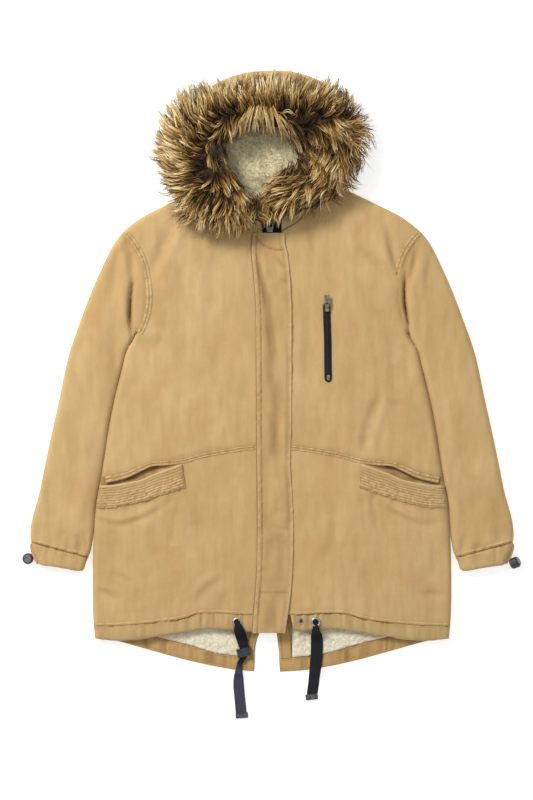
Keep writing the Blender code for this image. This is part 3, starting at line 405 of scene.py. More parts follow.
def markNode(tree, name):
    return addNode(tree, "ShaderNodeAttribute", attribute_name=name).outputs["Fac"]


# seam is the dark brown of dye-filled seams and also of painted shade; pale is also the colour of painted
# highlights
cottonLook = {"base": (0.560, 0.370, 0.150), "pale": (0.670, 0.470, 0.225), "deep": (0.430, 0.262, 0.090),
              "rust": (0.540, 0.290, 0.112), "seam": (0.205, 0.100, 0.026), "roughness": 0.92,
              "bump": 0.35, "bumpDepth": 0.0004}


def makeCotton(name="washedCotton", tint=(1.0, 1.0, 1.0)):
    look = cottonLook
    base, pale, deep, rust, seam = (tuple(a * b for a, b in zip(look[key], tint))
                                    for key in ("base", "pale", "deep", "rust", "seam"))
    nap = {"Sheen Weight": 0.08, "Sheen Roughness": 0.6, "Specular IOR Level": 0.25}
    paint, tree, shader = startPaint(name, look["roughness"], sockets=nap)
    place = placeOn(tree)
    wash, weave = effect(tree, washedDye, place), effect(tree, twillWeave, place)
    patch = rampNode(tree, noiseNode(tree, place, 14.0, 3.0), 0.52, 0.74)
    # the seam and wear marks carry dark seams and worn edges, and also painted shade in creases, grooves and
    # recesses and painted highlights on fold and rib tops
    layers = ((weaker(tree, wash["Streak"], 0.42), deep), (weaker(tree, patch, 0.45), rust),
              (weaker(tree, wash["Fleck"], 0.14), pale), (markNode(tree, "seam"), seam),
              (markNode(tree, "wear"), pale), (weaker(tree, weave["Mask"], 0.12), deep))
    colour = mixColour(tree, weaker(tree, wash["Cloud"], 0.72), base, pale)
    for amount, tone in layers:
        colour = mixColour(tree, amount, colour, tone)
    plug(tree, shader.inputs["Base Color"], colour)
    crease = weaker(tree, noiseNode(tree, place, 130.0, 4.0), 1.6)
    bumpNode(tree, shader, mathNode(tree, "ADD", weave["Height"], crease), look["bump"], look["bumpDepth"])
    return paint


def makeThread():
    paint, tree, shader = startPaint("tanThread", 0.6)
    twist = noiseNode(tree, placeOn(tree), 700.0, 2.0)
    plug(tree, shader.inputs["Base Color"], mixColour(tree, twist, (0.50, 0.33, 0.15), (0.68, 0.49, 0.27)))
    bumpNode(tree, shader, twist, 0.4, 0.0002)
    return paint


def makePile(name, pale, deep, size):
    paint, tree, shader = startPaint(name, 1.0, sockets={"Sheen Weight": 0.15})
    place = placeOn(tree)
    curl = noiseNode(tree, place, size, 4.0, 0.65)
    clump = rampNode(tree, noiseNode(tree, place, size * 0.22, 3.0), 0.45, 0.75)
    colour = mixColour(tree, rampNode(tree, curl, 0.30, 0.62), deep, pale)
    colour = mixColour(tree, weaker(tree, clump, 0.4), colour, deep)
    # the deep mark darkens the pile: painted shade inside the back neck and under the tail's hem, and the
    # dark curls
    colour = mixColour(tree, markNode(tree, "deep"), colour, tuple(v * 0.55 for v in deep))
    plug(tree, shader.inputs["Base Color"], colour)
    bumpNode(tree, shader, curl, 0.7, 0.0012)
    return paint


def makeFur():
    # root to tip colours, shifted lock by lock
    paint, tree, shader = startPaint("furLocks", 0.55, sockets={"Specular IOR Level": 0.18})
    ramp = addNode(tree, "ShaderNodeValToRGB", {"Fac": markNode(tree, "along")})
    stops = ((0.0, (0.016, 0.009, 0.005)), (0.24, (0.080, 0.040, 0.014)), (0.50, (0.360, 0.192, 0.050)),
             (0.72, (0.660, 0.440, 0.150)), (1.0, (0.960, 0.800, 0.470)))
    for k, (at, colour) in enumerate(stops):
        stop = ramp.color_ramp.elements[k] if k < 2 else ramp.color_ramp.elements.new(at)
        stop.position = at
        stop.color = colour + (1.0,)
    tipped = mixColour(tree, weaker(tree, markNode(tree, "tone"), 0.9), ramp.outputs["Color"],
                       (0.050, 0.043, 0.040))
    plug(tree, shader.inputs["Base Color"], tipped)
    return paint


def makeTape():
    paint, tree, shader = startPaint("blackTape", 0.7,
                                     sockets={"Sheen Weight": 0.05, "Specular IOR Level": 0.2})
    place = placeOn(tree)
    weave = effect(tree, twillWeave, place, Rib=700.0)
    fade = rampNode(tree, noiseNode(tree, place, 55.0, 3.0), 0.35, 0.75)
    colour = mixColour(tree, fade, (0.005, 0.005, 0.007), (0.011, 0.011, 0.016))
    colour = mixColour(tree, weaker(tree, weave["Mask"], 0.3), colour, (0.020, 0.020, 0.026))
    colour = mixColour(tree, markNode(tree, "deep"), colour, (0.050, 0.053, 0.075))
    plug(tree, shader.inputs["Base Color"], colour)
    bumpNode(tree, shader, weave["Height"], 0.5, 0.0004)
    return paint


def makeHard(name, colour, worn, roughness, metallic):
    # metal or plastic with rubbed patches
    paint, tree, shader = startPaint(name, roughness, metallic)
    place = placeOn(tree)
    rub = rampNode(tree, noiseNode(tree, place, 260.0, 4.0), 0.42, 0.72)
    plug(tree, shader.inputs["Base Color"], mixColour(tree, rub, colour, worn))
    rough = mathNode(tree, "MULTIPLY_ADD", noiseNode(tree, place, 900.0, 3.0), 0.25, roughness - 0.1)
    plug(tree, shader.inputs["Roughness"], rough)
    bumpNode(tree, shader, noiseNode(tree, place, 600.0, 3.0), 0.15, 0.0002)
    return paint


cotton = makeCotton()
# a darker copy of the cotton: painted shade for the tail's inside band and vent facing
cottonShaded = makeCotton("cottonShaded", (0.90, 0.83, 0.74))
thread = makeThread()
creamPile = makePile("creamPile", (0.905, 0.835, 0.640), (0.610, 0.520, 0.330), 330.0)
hoodPile = makePile("hoodPile", (0.825, 0.735, 0.470), (0.435, 0.355, 0.185), 300.0)
furLocks = makeFur()
blackTape = makeTape()
gunmetal = makeHard("gunmetal", (0.16, 0.145, 0.13), (0.38, 0.34, 0.29), 0.36, 1.0)
clipMetal = makeHard("clipMetal", (0.075, 0.075, 0.082), (0.22, 0.22, 0.23), 0.38, 1.0)
greyPlastic = makeHard("greyPlastic", (0.085, 0.085, 0.092), (0.26, 0.26, 0.27), 0.45, 0.0)
slidePlastic = makeHard("slidePlastic", (0.014, 0.015, 0.019), (0.05, 0.052, 0.06), 0.28, 0.0)
nickel = makeHard("wornNickel", (0.42, 0.42, 0.43), (0.68, 0.68, 0.68), 0.3, 1.0)
blackPlastic = makeHard("blackPlastic", (0.022, 0.022, 0.025), (0.07, 0.07, 0.078), 0.42, 0.0)
print("materials ready")


# ---- the garment's lines in millimetres, x out from the centre, and how its cloth lies
cut = {
    "shoulder": ((95, 480), (190, 435), (232, 414), (272, 382)),
    "sleeveOut": ((312, 310), (346, 225), (365, 170), (384, 84), (404, -7), (417, -72), (435, -172)),
    "cuffOut": (423, -211), "cuffIn": (338, -224), "cuffSeamIn": (331, -200),
    "bodySide": ((319.5, -346), (322.5, -310), (323.5, -230), (321.5, -160), (316, -97), (308.2, -55),
                 (304.5, -32), (290, 57), (268.5, 148), (262.5, 171), (250.5, 192), (246, 202)),
    "neckline": ((17.2, 386), (47.8, 404), (78.4, 440), (95, 480)),
    "backNeck": ((0, 474), (50, 476), (95, 480)),
    "waist": ((0, 2), (32, 2), (90, -6), (130, -13.5), (160, -22), (190, -25.5), (220, -28), (240, -36),
              (261, -45), (307.5, -55)),
    "hemSeam": ((17, -303), (50, -303), (100, -300.5), (136, -302), (160, -309.5), (209, -317), (258, -322),
                (322, -324.5)),
    "hemEdge": ((17, -335), (60, -333.5), (114, -329.5), (168, -337.5), (210, -343.8), (246, -349),
                (285, -351), (320, -347.5)),
    "tailEdge": ((10, -409), (30, -408), (66, -405), (112, -397), (158, -386.5), (223, -368.5), (284, -352),
                 (321, -344)),
    "tailBandTop": ((10, -385), (64, -380), (104, -374), (146, -361.5), (198, -348), (250, -335),
                    (310, -326)),
    "seamHeight": 11.0, "round": 11.0, "crown": 3.0, "crownReach": 60.0, "bow": 30.0, "tuck": 17.2,
    "wall": 2.4,
    "vent": {-1: ((0, -290), (10, -312), (11, -315), (27, -350), (32, -407.5)),
             1: ((0, -290), (4, -312), (4.5, -315), (10, -350), (14, -408.5))},
}
sides = {"right": -1, "left": 1}
rollAngles = (75, 60, 45, 30, 15, 0)


def lineY(rows, x):
    line = softLine(rows)
    return np.interp(x, line[:, 0], line[:, 1])


def bodySideX(y):
    line = softLine(cut["bodySide"])
    return np.interp(y, line[:, 1], line[:, 0])


def armholeLine(count=60):
    top, low = np.array(cut["shoulder"][-1], float), np.array((246.0, 202.0))
    share = evenly(count)[:, None]
    run = low - top
    bow = np.array((run[1], -run[0])) / np.linalg.norm(run)
    return top + run * share + bow * cut["bow"] * (1.0 - np.abs(2.0 * share - 1.0) ** 2.5)


sleeveOuter = softLine(cut["shoulder"] + cut["sleeveOut"] + (cut["cuffOut"],))
shoulderEnd = np.abs(sleeveOuter - np.array(cut["shoulder"][-1], float)).sum(axis=1).argmin()
shoulderLine = sleeveOuter[:int(shoulderEnd) + 1]
sleeveInner = softLine(cut["bodySide"])[::-1]
besideBody = (sleeveInner[:, 1] <= 202.0) & (sleeveInner[:, 1] >= -160.0)
sleeveInner = sleeveInner[besideBody] + np.array((0.15, 0.0))
towardsCuff = ((324.6, -178), (327.0, -190), cut["cuffSeamIn"], cut["cuffIn"])
sleeveInner = np.concatenate([sleeveInner[:-1], softLine((tuple(sleeveInner[-1]),) + towardsCuff)])
bodyBorders = ((sleeveOuter, -1), (softLine(cut["bodySide"]), 1))
sleeveBorders = ((sleeveOuter, -1), (sleeveInner, 1))


def clothLie(x, y, borders):
    # how far up and how level the cloth lies over each spot
    off = np.full(np.shape(x), 1e9)
    for line, inside in borders:
        far, share, side = nearLine(np.abs(x), y, line)
        past = (share < 0.001) | (share > 0.999)
        off = np.minimum(off, np.where((side == inside) | past, far, 0.0))
    turn = unit(1.0 - off / cut["round"])
    rise = np.sqrt(1.0 - turn ** 2)
    past = np.maximum(off - cut["round"], 0.0)
    return rise, cut["crown"] * (1.0 - np.exp(-past / cut["crownReach"]))


# folds: half width, height (a trough's is negative) and the places they run through
foldGain = 1.7
bodyFolds = [
    (10, -2.4, -178, 401, -198, 358, -217, 308), (10, 1.3, -160, 395, -180, 350, -200, 305),
    (11, -1.9, -243, 196, -224, 182, -202, 173), (10, 1.2, -240, 214, -215, 204, -190, 200),
    (16, -1.0, -171, 335, -174, 245, -168, 155), (16, 0.8, -130, 317, -125, 250, -128, 190),
    (9, 0.9, -215, 300, -222, 250, -214, 215), (12, -0.9, -95, 400, -110, 340, -104, 280),
    (12, -0.9, -250, 120, -262, 60, -276, -10), (12, 0.6, -60, 330, -56, 200, -62, 90),
    (14, -1.0, -205, 110, -210, 60, -200, 10), (10, 0.8, -150, 80, -158, 40, -150, 0),
    (4.8, -3.2, 207, 401, 212, 370, 222, 330, 232, 290), (8, 1.3, 192, 398, 200, 360, 209, 325),
    (7.5, -2.1, 152, 360, 178, 338, 206, 312, 233, 286), (9, 1.2, 160, 385, 195, 350, 216, 318),
    (11, -1.4, 178, 292, 191, 238, 214, 218), (14, -1.8, 217, 218, 217, 135, 232, 90),
    (8, -2.6, 194, 95, 175, 45, 162, -16), (9, 1.4, 208, 92, 192, 42, 180, -8),
    (6, -1.0, 207, 79, 222, 76, 236, 70), (14, 0.7, 120, 300, 128, 220, 122, 150),
    (13, -0.9, 150, 150, 144, 80, 150, 20), (12, -0.7, 70, 330, 64, 240, 70, 120),
    (10, 1.0, 250, 170, 262, 110, 272, 60), (8, -1.5, 52, 395, 72, 372, 80, 340),
    (5.0, -1.3, -319, -133, -274, -143, -238, -133, -202, -114, -177, -93),
    (6, 1.2, -319, -122, -274, -131, -238, -121, -205, -104), (9, -1.6, -175, -90, -173, -130, -179, -176),
    (9, 1.0, -158, -93, -150, -115, -141, -139), (7, -1.1, -88, -238, -119, -259, -139, -284),
    (8, 0.9, -92, -226, -122, -243, -150, -272), (5, -1.1, -83, -263, -88, -282, -85, -300),
    (4.5, -2.2, -314, -258, -293, -267, -276, -279), (5, -1.4, -290, -229, -268, -237, -250, -248),
    (6, -1.3, -242, -259, -240, -272, -235, -286), (11, -0.8, -300, -190, -270, -205, -240, -204),
    (14, -0.9, -120, -110, -112, -170, -118, -215), (12, 0.7, -60, -60, -54, -130, -60, -200),
    (12, 0.8, -200, -190, -205, -240, -196, -290),
    (5.5, -1.4, 178, -88, 207, -115, 240, -131, 272, -143, 313, -133),
    (6, 1.1, 190, -90, 215, -108, 243, -122, 272, -133), (5.5, -1.7, 178, -86, 184, -120, 190, -153),
    (4.5, -1.3, 166, -86, 163, -100, 166, -114), (11, -1.1, 115, -139, 112, -170, 108, -205),
    (8, -1.0, 192, -119, 200, -140, 212, -162), (6, -1.3, 266, -268, 290, -266, 313, -274),
    (12, 0.9, 140, -97, 134, -150, 137, -205), (10, -1.1, 169, -205, 173, -240, 180, -277),
    (13, -0.7, 60, -60, 66, -140, 60, -210), (13, 0.8, 230, -180, 240, -220, 236, -270),
    (9, -0.8, 290, -160, 298, -200, 292, -240), (6, -1.2, 82, -250, 90, -275, 84, -298),
]
sleeveFolds = {
    -1: [
        (6, -3.2, -262, 372, -254, 335, -250, 304), (3.8, -7.5, -249, 306, -254, 270, -254, 218, -249, 200),
        (9, 1.6, -262, 300, -268, 265, -268, 215), (9, -2.0, -276, 353, -281, 320, -288, 263),
        (6, 1.4, -270, 352, -266, 325, -262, 300), (13, -1.8, -284, 250, -284, 190, -281, 140, -288, 74),
        (12, 1.0, -325, 220, -335, 150, -350, 80), (11, 1.1, -306, 130, -318, 60, -326, -10),
        (13, -1.2, -345, 30, -352, -40, -366, -110), (9, 1.0, -330, -60, -342, -110, -350, -160),
        (10, -1.0, -395, -60, -402, -110, -404, -160), (8, -1.0, -300, 20, -310, -30, -322, -90),
        (4.5, -1.9, -349, -160, -346, -180, -343, -198), (4, -1.5, -337, -150, -335, -172, -336, -192),
        (4, -1.3, -366, -170, -367, -182, -364, -194), (4, 1.1, -356, -168, -355, -180, -353, -194),
        (6, -1.3, -375, -150, -384, -170, -380, -192), (5, -1.2, -352, -176, -356, -190, -352, -202),
    ],
    1: [
        (4.2, -3.4, 263, 363, 257, 332, 249, 303, 243, 282),
        (2.9, -8.0, 240, 312, 238.7, 283, 238.7, 266, 242, 239, 249, 208),
        (9, 1.7, 262, 330, 254, 280, 258, 235), (9, -1.7, 285, 350, 281, 310, 287, 262),
        (6, 1.2, 276, 345, 270, 310, 268, 270), (12, -1.6, 285, 230, 292, 170, 300, 110),
        (12, 1.0, 330, 200, 340, 130, 352, 60), (11, 1.1, 312, 90, 322, 30, 332, -40),
        (13, -1.2, 350, 10, 360, -60, 372, -120), (10, 0.9, 390, 20, 400, -50, 408, -110),
        (8, -1.0, 335, -70, 345, -115, 350, -160), (5, -1.8, 360, -182, 378, -186, 396, -180),
        (7, 1.0, 385, -140, 392, -165, 396, -190), (4.5, -1.7, 346, -158, 344, -178, 341, -198),
        (4, -1.5, 371, -172, 370, -182, 372, -192), (5, -1.4, 408, -150, 411, -164, 409, -176),
    ],
}


def sharpOnly(rows):
    return [row for row in rows if row[1] <= -1.8]


def creaseShade(x, y):
    # painted shade in the sharpest creases
    side = np.where(x < 0, -1, 1)
    body = foldField(x, y, sharpOnly(bodyFolds))
    arms = sum(np.where(side == s, foldField(x, y, sharpOnly(sleeveFolds[s])), 0.0) for s in (-1, 1))
    inside = np.abs(x) < bodySideX(y)
    return unit(-np.where(inside & ~nearArm(x, y), body, arms) / 7.0)


def foldLightAndShade(x, y):
    # painted highlight along the tops of the folds and painted shade, redder, in their troughs
    side = np.where(x < 0, -1, 1)
    arms = sum(np.where(side == s, foldField(x, y, sleeveFolds[s]), 0.0) for s in (-1, 1))
    inside = (np.abs(x) < bodySideX(y)) & ~nearArm(x, y)
    return np.where(inside, foldField(x, y, bodyFolds), arms) + 0.9 * softNoise(x, y, 30.0, 80.0, 12)


def nearArm(x, y):
    side = nearLine(np.abs(x), y, armholeLine())[2]
    return (side > 0) & (y > 195.0)


def rumple(x, y, seed):
    # small uneven waves all over, longer down the cloth than across it
    return (0.95 * softNoise(x, y, 27.0, 62.0, seed) + 0.90 * softNoise(x, y, 60.0, 95.0, seed + 1)
            + 0.45 * softNoise(x, y, 12.0, 26.0, seed + 2) + 0.34 * softNoise(x, y, 15.0, 11.0, seed + 3))


def puckers(x, y, line, span, reach, high, seed):
    # small waves across a seam that fade away from it
    off, share = nearLine(x, y, line)[:2]
    return high * np.exp(-off / reach) * softNoise(share * lineLength(line), 0.0 * share, span, 1.0, seed)


def bothSides(rows):
    line = softLine(rows)
    return {1: line, -1: line * np.array((-1.0, 1.0))}


waistLines, hemLines = bothSides(cut["waist"]), bothSides(cut["hemSeam"])
armLines = {1: armholeLine(), -1: armholeLine() * np.array((-1.0, 1.0))}
cuffLines = bothSides((cut["cuffSeamIn"], (383, -186), (435, -172)))
welt = {"top": ((161, -31.5), (187, -41), (213, -50.5), (233, -59.5), (255, -64.5), (283, -69.7), (306, -71)),
        "bottom": ((155, -75.6), (181, -84.5), (207, -92), (233, -101), (262, -108), (288, -112.5),
                   (309, -113)),
        "mouthDeep": 9.0}
weltLines = bothSides(welt["bottom"])


def mouthGap(x):
    # from the welt's top edge up to the waist seam
    return np.maximum(lineY(cut["waist"], np.abs(x)) - 1.0 - lineY(welt["top"], np.abs(x)), 4.0)


def mouthSink(x, y):
    # the front drops away behind each welt
    share = (y - lineY(welt["top"], np.abs(x)) + 4.0) / (mouthGap(x) + 4.0)
    ends = unit(np.minimum((np.abs(x) - 168.0) / 40.0, (311.0 - np.abs(x)) / 22.0))
    dip = np.sin(np.pi * unit(share) ** 0.8) ** 0.7
    return welt["mouthDeep"] * ends * np.where((share > 0.0) & (share < 1.0), dip, 0.0)


def underWelt(x, y):
    away = np.abs(x)
    high, low = lineY(welt["top"], away), lineY(welt["bottom"], away)
    inside = unit(np.minimum(high - y - 3.0, y - low - 3.0) / 4.0)
    return 2.4 * inside * unit((away - 160.0) / 4.0)


seamWaves = ((waistLines, 15.0, 13.0, 1.1, 40), (hemLines, 13.0, 16.0, 1.3, 44),
             (armLines, 12.0, 11.0, 0.9, 48), (weltLines, 8.0, 11.0, 1.7, 60))


def onCoat(x, y, above):
    # height of what lies that far above the body's plain cloth
    rise, crown = clothLie(x, y, bodyBorders)
    return cut["seamHeight"] + 0.3 + cut["round"] * rise + crown + rise * above


def bodyTop(x, y):
    side = np.where(x < 0, -1, 1)
    wave = foldGain * foldField(x, y, bodyFolds) + rumple(x, y, 11)
    for s in (-1, 1):
        wave = wave + (side == s) * sum(puckers(x, y, lines[s], span, reach, high, seed + s)
                                        for lines, span, reach, high, seed in seamWaves)
    calm = unit((np.abs(x) - 12.0) / 44.0)  # under the storm flap
    zipAway = np.maximum(np.abs(x - 99.5) - 8.0, np.maximum(y - 262.0, 112.0 - y))
    calm = calm * (0.12 + 0.88 * unit(zipAway / 16.0))  # and under the chest zip
    return onCoat(x, y, wave * calm - mouthSink(x, y) - underWelt(x, y))


def sleeveTop(x, y, side):
    rise, crown = clothLie(x, y, sleeveBorders)
    wave = foldGain * foldField(x, y, sleeveFolds[side]) + rumple(x, y, 23 + side)
    wave = wave + puckers(x, y, armLines[side], 10.0, 12.0, 1.0, 52 + side)
    wave = wave + puckers(x, y, cuffLines[side], 8.5, 14.0, 1.7, 56 + side)
    return cut["seamHeight"] + cut["round"] * rise + crown + rise * wave


def withRoll(count, length, both=False):
    # shares across a panel, close together where its side rolls under
    step = [cut["round"] * (1.0 - math.cos(math.radians(a))) / length for a in rollAngles]
    reach = cut["round"] / length
    middle = np.linspace(reach if both else 0.0, 1.0 - reach, count)
    first = list(reversed(step)) if both else []
    return np.array(first + list(middle) + [1.0 - s for s in step])


def raised(plan, top):
    # a plan with its heights, which are given or worked out at each spot
    high = top if isinstance(top, np.ndarray) else top(plan[..., 0], plan[..., 1])
    return np.concatenate([plan, high[..., None]], axis=-1)


def nearAny(x, y, lines, reach):
    best = np.zeros(np.shape(x))
    for line in lines:
        best = np.maximum(best, bell(nearLine(x, y, line)[0], reach))
    return best


def hemGather(x, y):
    # small tight gathers round the drawcord's tunnel
    return (0.5 + 1.5 * bell(np.abs(x) - 85.0, 55.0)) * softNoise(x, y, 4.6, 70.0, 66)


def markCloth(piece, seams=(), edges=(), seamTint=0.30, wearTint=0.5):
    # seams keep more dye and sharp edges lose it; creases, fold troughs, gather troughs and the pocket mouth
    # get painted shade, fold and gather tops painted highlights
    count = len(piece.data.vertices)
    spots = np.empty(count * 3)
    piece.data.vertices.foreach_get("co", spots)
    spots = spots.reshape(-1, 3) / mm
    x, y = spots[:, 0], spots[:, 1]
    seam = nearAny(x, y, seams, 6.0) * seamTint if seams else np.zeros(count)
    wear = nearAny(x, y, edges, 2.6) * wearTint if edges else np.zeros(count)
    if seams:
        # painted shade in the pocket's mouth and in the sharp creases
        seam = np.maximum(seam, np.maximum(unit(mouthSink(x, y) / 7.0) * 0.9, creaseShade(x, y) ** 1.3))
        tone = foldLightAndShade(x, y)
        seam = np.maximum(seam, unit(-tone / 3.0) * 0.20)
        wear = np.maximum(wear, unit(tone / 2.0) * 0.42)
        # painted shade in the troughs of the hem's gathers and painted highlights on their tops
        gather = np.where(y < lineY(cut["hemSeam"], np.abs(x)), hemGather(x, y), 0.0)
        seam, wear = np.maximum(seam, unit(-gather) * 0.42), np.maximum(wear, unit(gather) * 0.4)
    uneven = 0.65 + 0.35 * softNoise(x, y, 9.0, 9.0, 77)
    addMark(piece, "seam", seam * uneven)
    addMark(piece, "wear", wear * uneven)


def restFlat(piece):
    # nothing goes below the surface it lies on
    spots = np.empty(len(piece.data.vertices) * 3)
    piece.data.vertices.foreach_get("co", spots)
    spots[2::3] = np.maximum(spots[2::3], 0.05 * mm)
    piece.data.vertices.foreach_set("co", spots)
    piece.data.update()


def thicken(piece, wall):
    useModifier(piece, "SOLIDIFY", thickness=wall * mm, offset=-1.0)


def thickSheet(name, spots, wall, wrap=False):
    piece = sheetMesh(name, spots, wrap)
    turnUp(piece)
    thicken(piece, wall)
    return piece


def finishCloth(piece, seams=(), edges=(), stands=(), **tints):
    markCloth(piece, seams, edges, **tints)
    smoothAll(piece, 60.0)
    finishPiece(piece, cotton, "coat", stands)


def clothPiece(name, spots, node, seams=(), edges=(), wrap=False):
    piece = thickSheet(name, spots, cut["wall"], wrap)
    restFlat(piece)
    finishCloth(piece, seams, edges, (node,))


def mirrored(line, side):
    return line * np.array((side, 1.0))


def frontPanels(word, side):
    tuck = cut["tuck"]
    neck = np.concatenate([softLine(cut["neckline"]), shoulderLine[1:]])
    waist = softLine(cut["waist"])
    waist = waist[(waist[:, 0] > tuck)]
    waist = np.concatenate([[(tuck, float(lineY(cut["waist"], tuck)))], waist, [(308.2, -55.0)]])
    sideLine = softLine(cut["bodySide"])
    upSide = np.concatenate([sideLine[sideLine[:, 1] > -54.9], armholeLine()[::-1][1:]])
    upSide = np.concatenate([[(308.2, -55.0)], upSide])
    centre = np.array((tuck, float(lineY(cut["waist"], tuck)))), np.array((tuck, 386.0))
    plan = coonsGrid(waist, neck, np.array(centre), upSide, withRoll(62, 275.0), evenly(108))
    plan = mirrored(plan, side)
    clothPiece(f"chest_{word}", raised(plan, bodyTop), f"front_upper_{word}",
               (waistLines[side], armLines[side]))
    lowSide = sideLine[(sideLine[:, 1] < -55.1) & (sideLine[:, 1] > -324.2)][::-1]
    lowSide = np.concatenate([[(308.2, -55.0)], lowSide, [(322.2, -324.4)]])
    swing = 12.5 if side > 0 else 0.0
    middle = np.array([(tuck, 1.9), (tuck, -255.0), (tuck + swing * 0.55, -282.0), (tuck + swing, -303.0)])
    hem = softLine(cut["hemSeam"])
    hem = hem[hem[:, 0] > tuck + swing + 0.5]
    hem = np.concatenate([[(tuck + swing, -303.0)], hem])
    plan = mirrored(coonsGrid(waist, hem, middle, lowSide, withRoll(66, 300.0), evenly(70)), side)
    clothPiece(f"skirt_{word}", raised(plan, bodyTop), f"front_lower_{word}",
               (waistLines[side], hemLines[side]))


def bandTop(x, y):
    ax = np.abs(x)
    seam, edge = lineY(cut["hemSeam"], ax), lineY(cut["hemEdge"], ax)
    share = unit((seam - y) / (seam - edge))
    gather = softNoise(x, y, 9.5, 60.0, 63) * 0.8 + softNoise(x, y, 21.0, 80.0, 64) * 0.9
    gather = gather + 1.2 * hemGather(x, y)
    drop = 4.0 * share ** 2 + 3.4 * unit((share - 0.86) / 0.14) ** 2
    return onCoat(x, y, gather * (0.35 + np.sin(share * np.pi) * 0.65) + 0.2 - drop)


def hemBand(word, side):
    start = 17.2 if side < 0 else 33.0
    columns = withRoll(130, 300.0)
    x = start + (322.2 - start) * columns
    rows = np.array([0.0, 0.08, 0.2, 0.33, 0.46, 0.6, 0.73, 0.85, 0.92, 0.97, 1.0])
    seam, edge = lineY(cut["hemSeam"], x) - 0.2, lineY(cut["hemEdge"], x)
    y = seam[None] + (edge - seam)[None] * rows[:, None]
    if side > 0:  # its inner end is turned in and rounded
        y[:, 0] += np.where(rows > 0.5, 2.5, -0.5)
    across = np.repeat(x[None], len(rows), axis=0) + (bodySideX(y) - 322.2) * columns[None]
    if side > 0:
        swell = 6.5 * rows[:, None] + 2.0 * unit(rows[:, None] - 0.85) / 0.15
        across += swell * np.exp(-columns[None] / 0.03)
    fade = unit((1.0 - columns[None]) * 8.0)
    y = y + 0.9 * softNoise(across, 0.0 * y, 11.0, 1.0, 65) * rows[:, None] * fade
    plan = joined(across * side, y)
    edgeLine = mirrored(softLine(cut["hemEdge"]), side)
    clothPiece(f"front_hem_{word}", raised(plan, bandTop), f"hem_band_{word}", (hemLines[side],), (edgeLine,))


def backPanel():
    sideLine = softLine(cut["bodySide"])
    rightLine = np.concatenate([[(319.5, -344.5)], sideLine[sideLine[:, 1] > -340.0],
                                armholeLine()[::-1][1:]])
    top = np.concatenate([softLine(cut["backNeck"]), shoulderLine[1:]])
    parts = []
    for side in (-1, 1):
        vent = softLine(cut["vent"][side])[::-1]
        centre = np.concatenate([vent, [(0.0, 0.0), (0.0, 474.0)]])
        tail = softLine(cut["tailEdge"])
        first = vent[0, 0], float(np.interp(vent[0, 0], tail[:, 0], tail[:, 1]))
        tail = np.concatenate([[first], tail[tail[:, 0] > vent[0, 0] + 1.0][:-1], [(319.5, -344.5)]])
        plan = coonsGrid(tail, top, centre, rightLine, withRoll(30, 290.0), evenly(84) ** 0.9)
        plan = mirrored(plan, side)
        rise = clothLie(plan[..., 0], plan[..., 1], bodyBorders)[0]
        parts.append(sheetMesh(f"back_half_{side + 1}", raised(plan, cut["seamHeight"] * (1.0 - rise))))
    pickNone()
    for part in parts:
        part.select_set(True)
    bpy.context.view_layer.objects.active = parts[0]
    bpy.ops.object.join()
    back = parts[0]
    back.name = "back_and_tail"
    startEdit(back)
    bpy.ops.mesh.remove_doubles(threshold=0.0008)
    bpy.ops.mesh.normals_make_consistent(inside=False)
    endEdit()
    turnUp(back, -1.0)
    thicken(back, cut["wall"])
    restFlat(back)
    tails = [mirrored(softLine(cut["tailEdge"]), s) for s in (-1, 1)]
    finishCloth(back, (), tails, ("back_panel",))


def tubePiece(name, node, side, plan, drop, seams=(), edges=()):
    # over the top from the outer edge, then back underneath
    flat = mirrored(plan, side)
    top = raised(flat, sleeveTop(flat[..., 0], flat[..., 1], side))
    top[..., 2] -= drop
    rise = clothLie(plan[..., 0], plan[..., 1], sleeveBorders)[0]
    low = raised(flat, cut["seamHeight"] * (1.0 - rise))[:, ::-1][:, 1:]
    low[:, -1] = top[:, 0]
    clothPiece(name, np.concatenate([top, low], axis=1), node, seams, edges, wrap=True)


def sleeveParts(word, side):
    low = armholeLine()
    outer = sleeveOuter[sleeveOuter[:, 1] <= 382.5]
    outer = outer[(outer[:, 1] > -172.5) | (outer[:, 0] < 400)]
    outer = np.concatenate([[(272.0, 382.0)], outer[outer[:, 1] < 381.0], [(435.0, -172.0)]])
    inner = sleeveInner[sleeveInner[:, 1] > -199.5]
    inner = np.concatenate([inner, [cut["cuffSeamIn"]]])
    last = np.array([(435.0, -172.0), cut["cuffSeamIn"]])
    plan = coonsGrid(low, last, outer, inner, withRoll(20, 105.0, both=True), evenly(106))
    tubePiece(f"sleeve_cloth_{word}", f"sleeve_{word}", side, plan, 0.0, (armLines[side],))
    cuffTop = last + np.array((-0.2, -0.6))
    edge = softLine(((424.0, -211.0), (417.0, -214.3), (398.0, -217.0), (372.0, -221.0), (348.0, -225.2),
                     (341.0, -224.5), (338.5, -220.0)))
    cuffOuter = softLine((tuple(cuffTop[0]), (434.5, -184.0), (430.0, -199.5), (424.0, -211.0)))
    cuffInner = np.array([cuffTop[1], (335.5, -210.0), edge[-1]])
    rows = evenly(18)
    plan = coonsGrid(cuffTop, edge, cuffOuter, cuffInner, withRoll(44, 105.0, both=True), rows)
    sink = (1.8 * bell(rows, 0.08) + 1.2 * rows + 2.6 * unit((rows - 0.8) / 0.2) ** 2)[:, None]
    sink = sink - 0.9 * noiseOver(plan, 5.5, 22.0, 71) - 0.7 * noiseOver(plan, 12.0, 40.0, 72)
    seam = mirrored(last, side)
    tubePiece(f"cuff_cloth_{word}", f"cuff_{word}", side, plan, sink, (seam,), (mirrored(edge, side),))


for word, side in sides.items():
    frontPanels(word, side)
    hemBand(word, side)
    sleeveParts(word, side)
backPanel()
print("body, sleeves and hem ready")


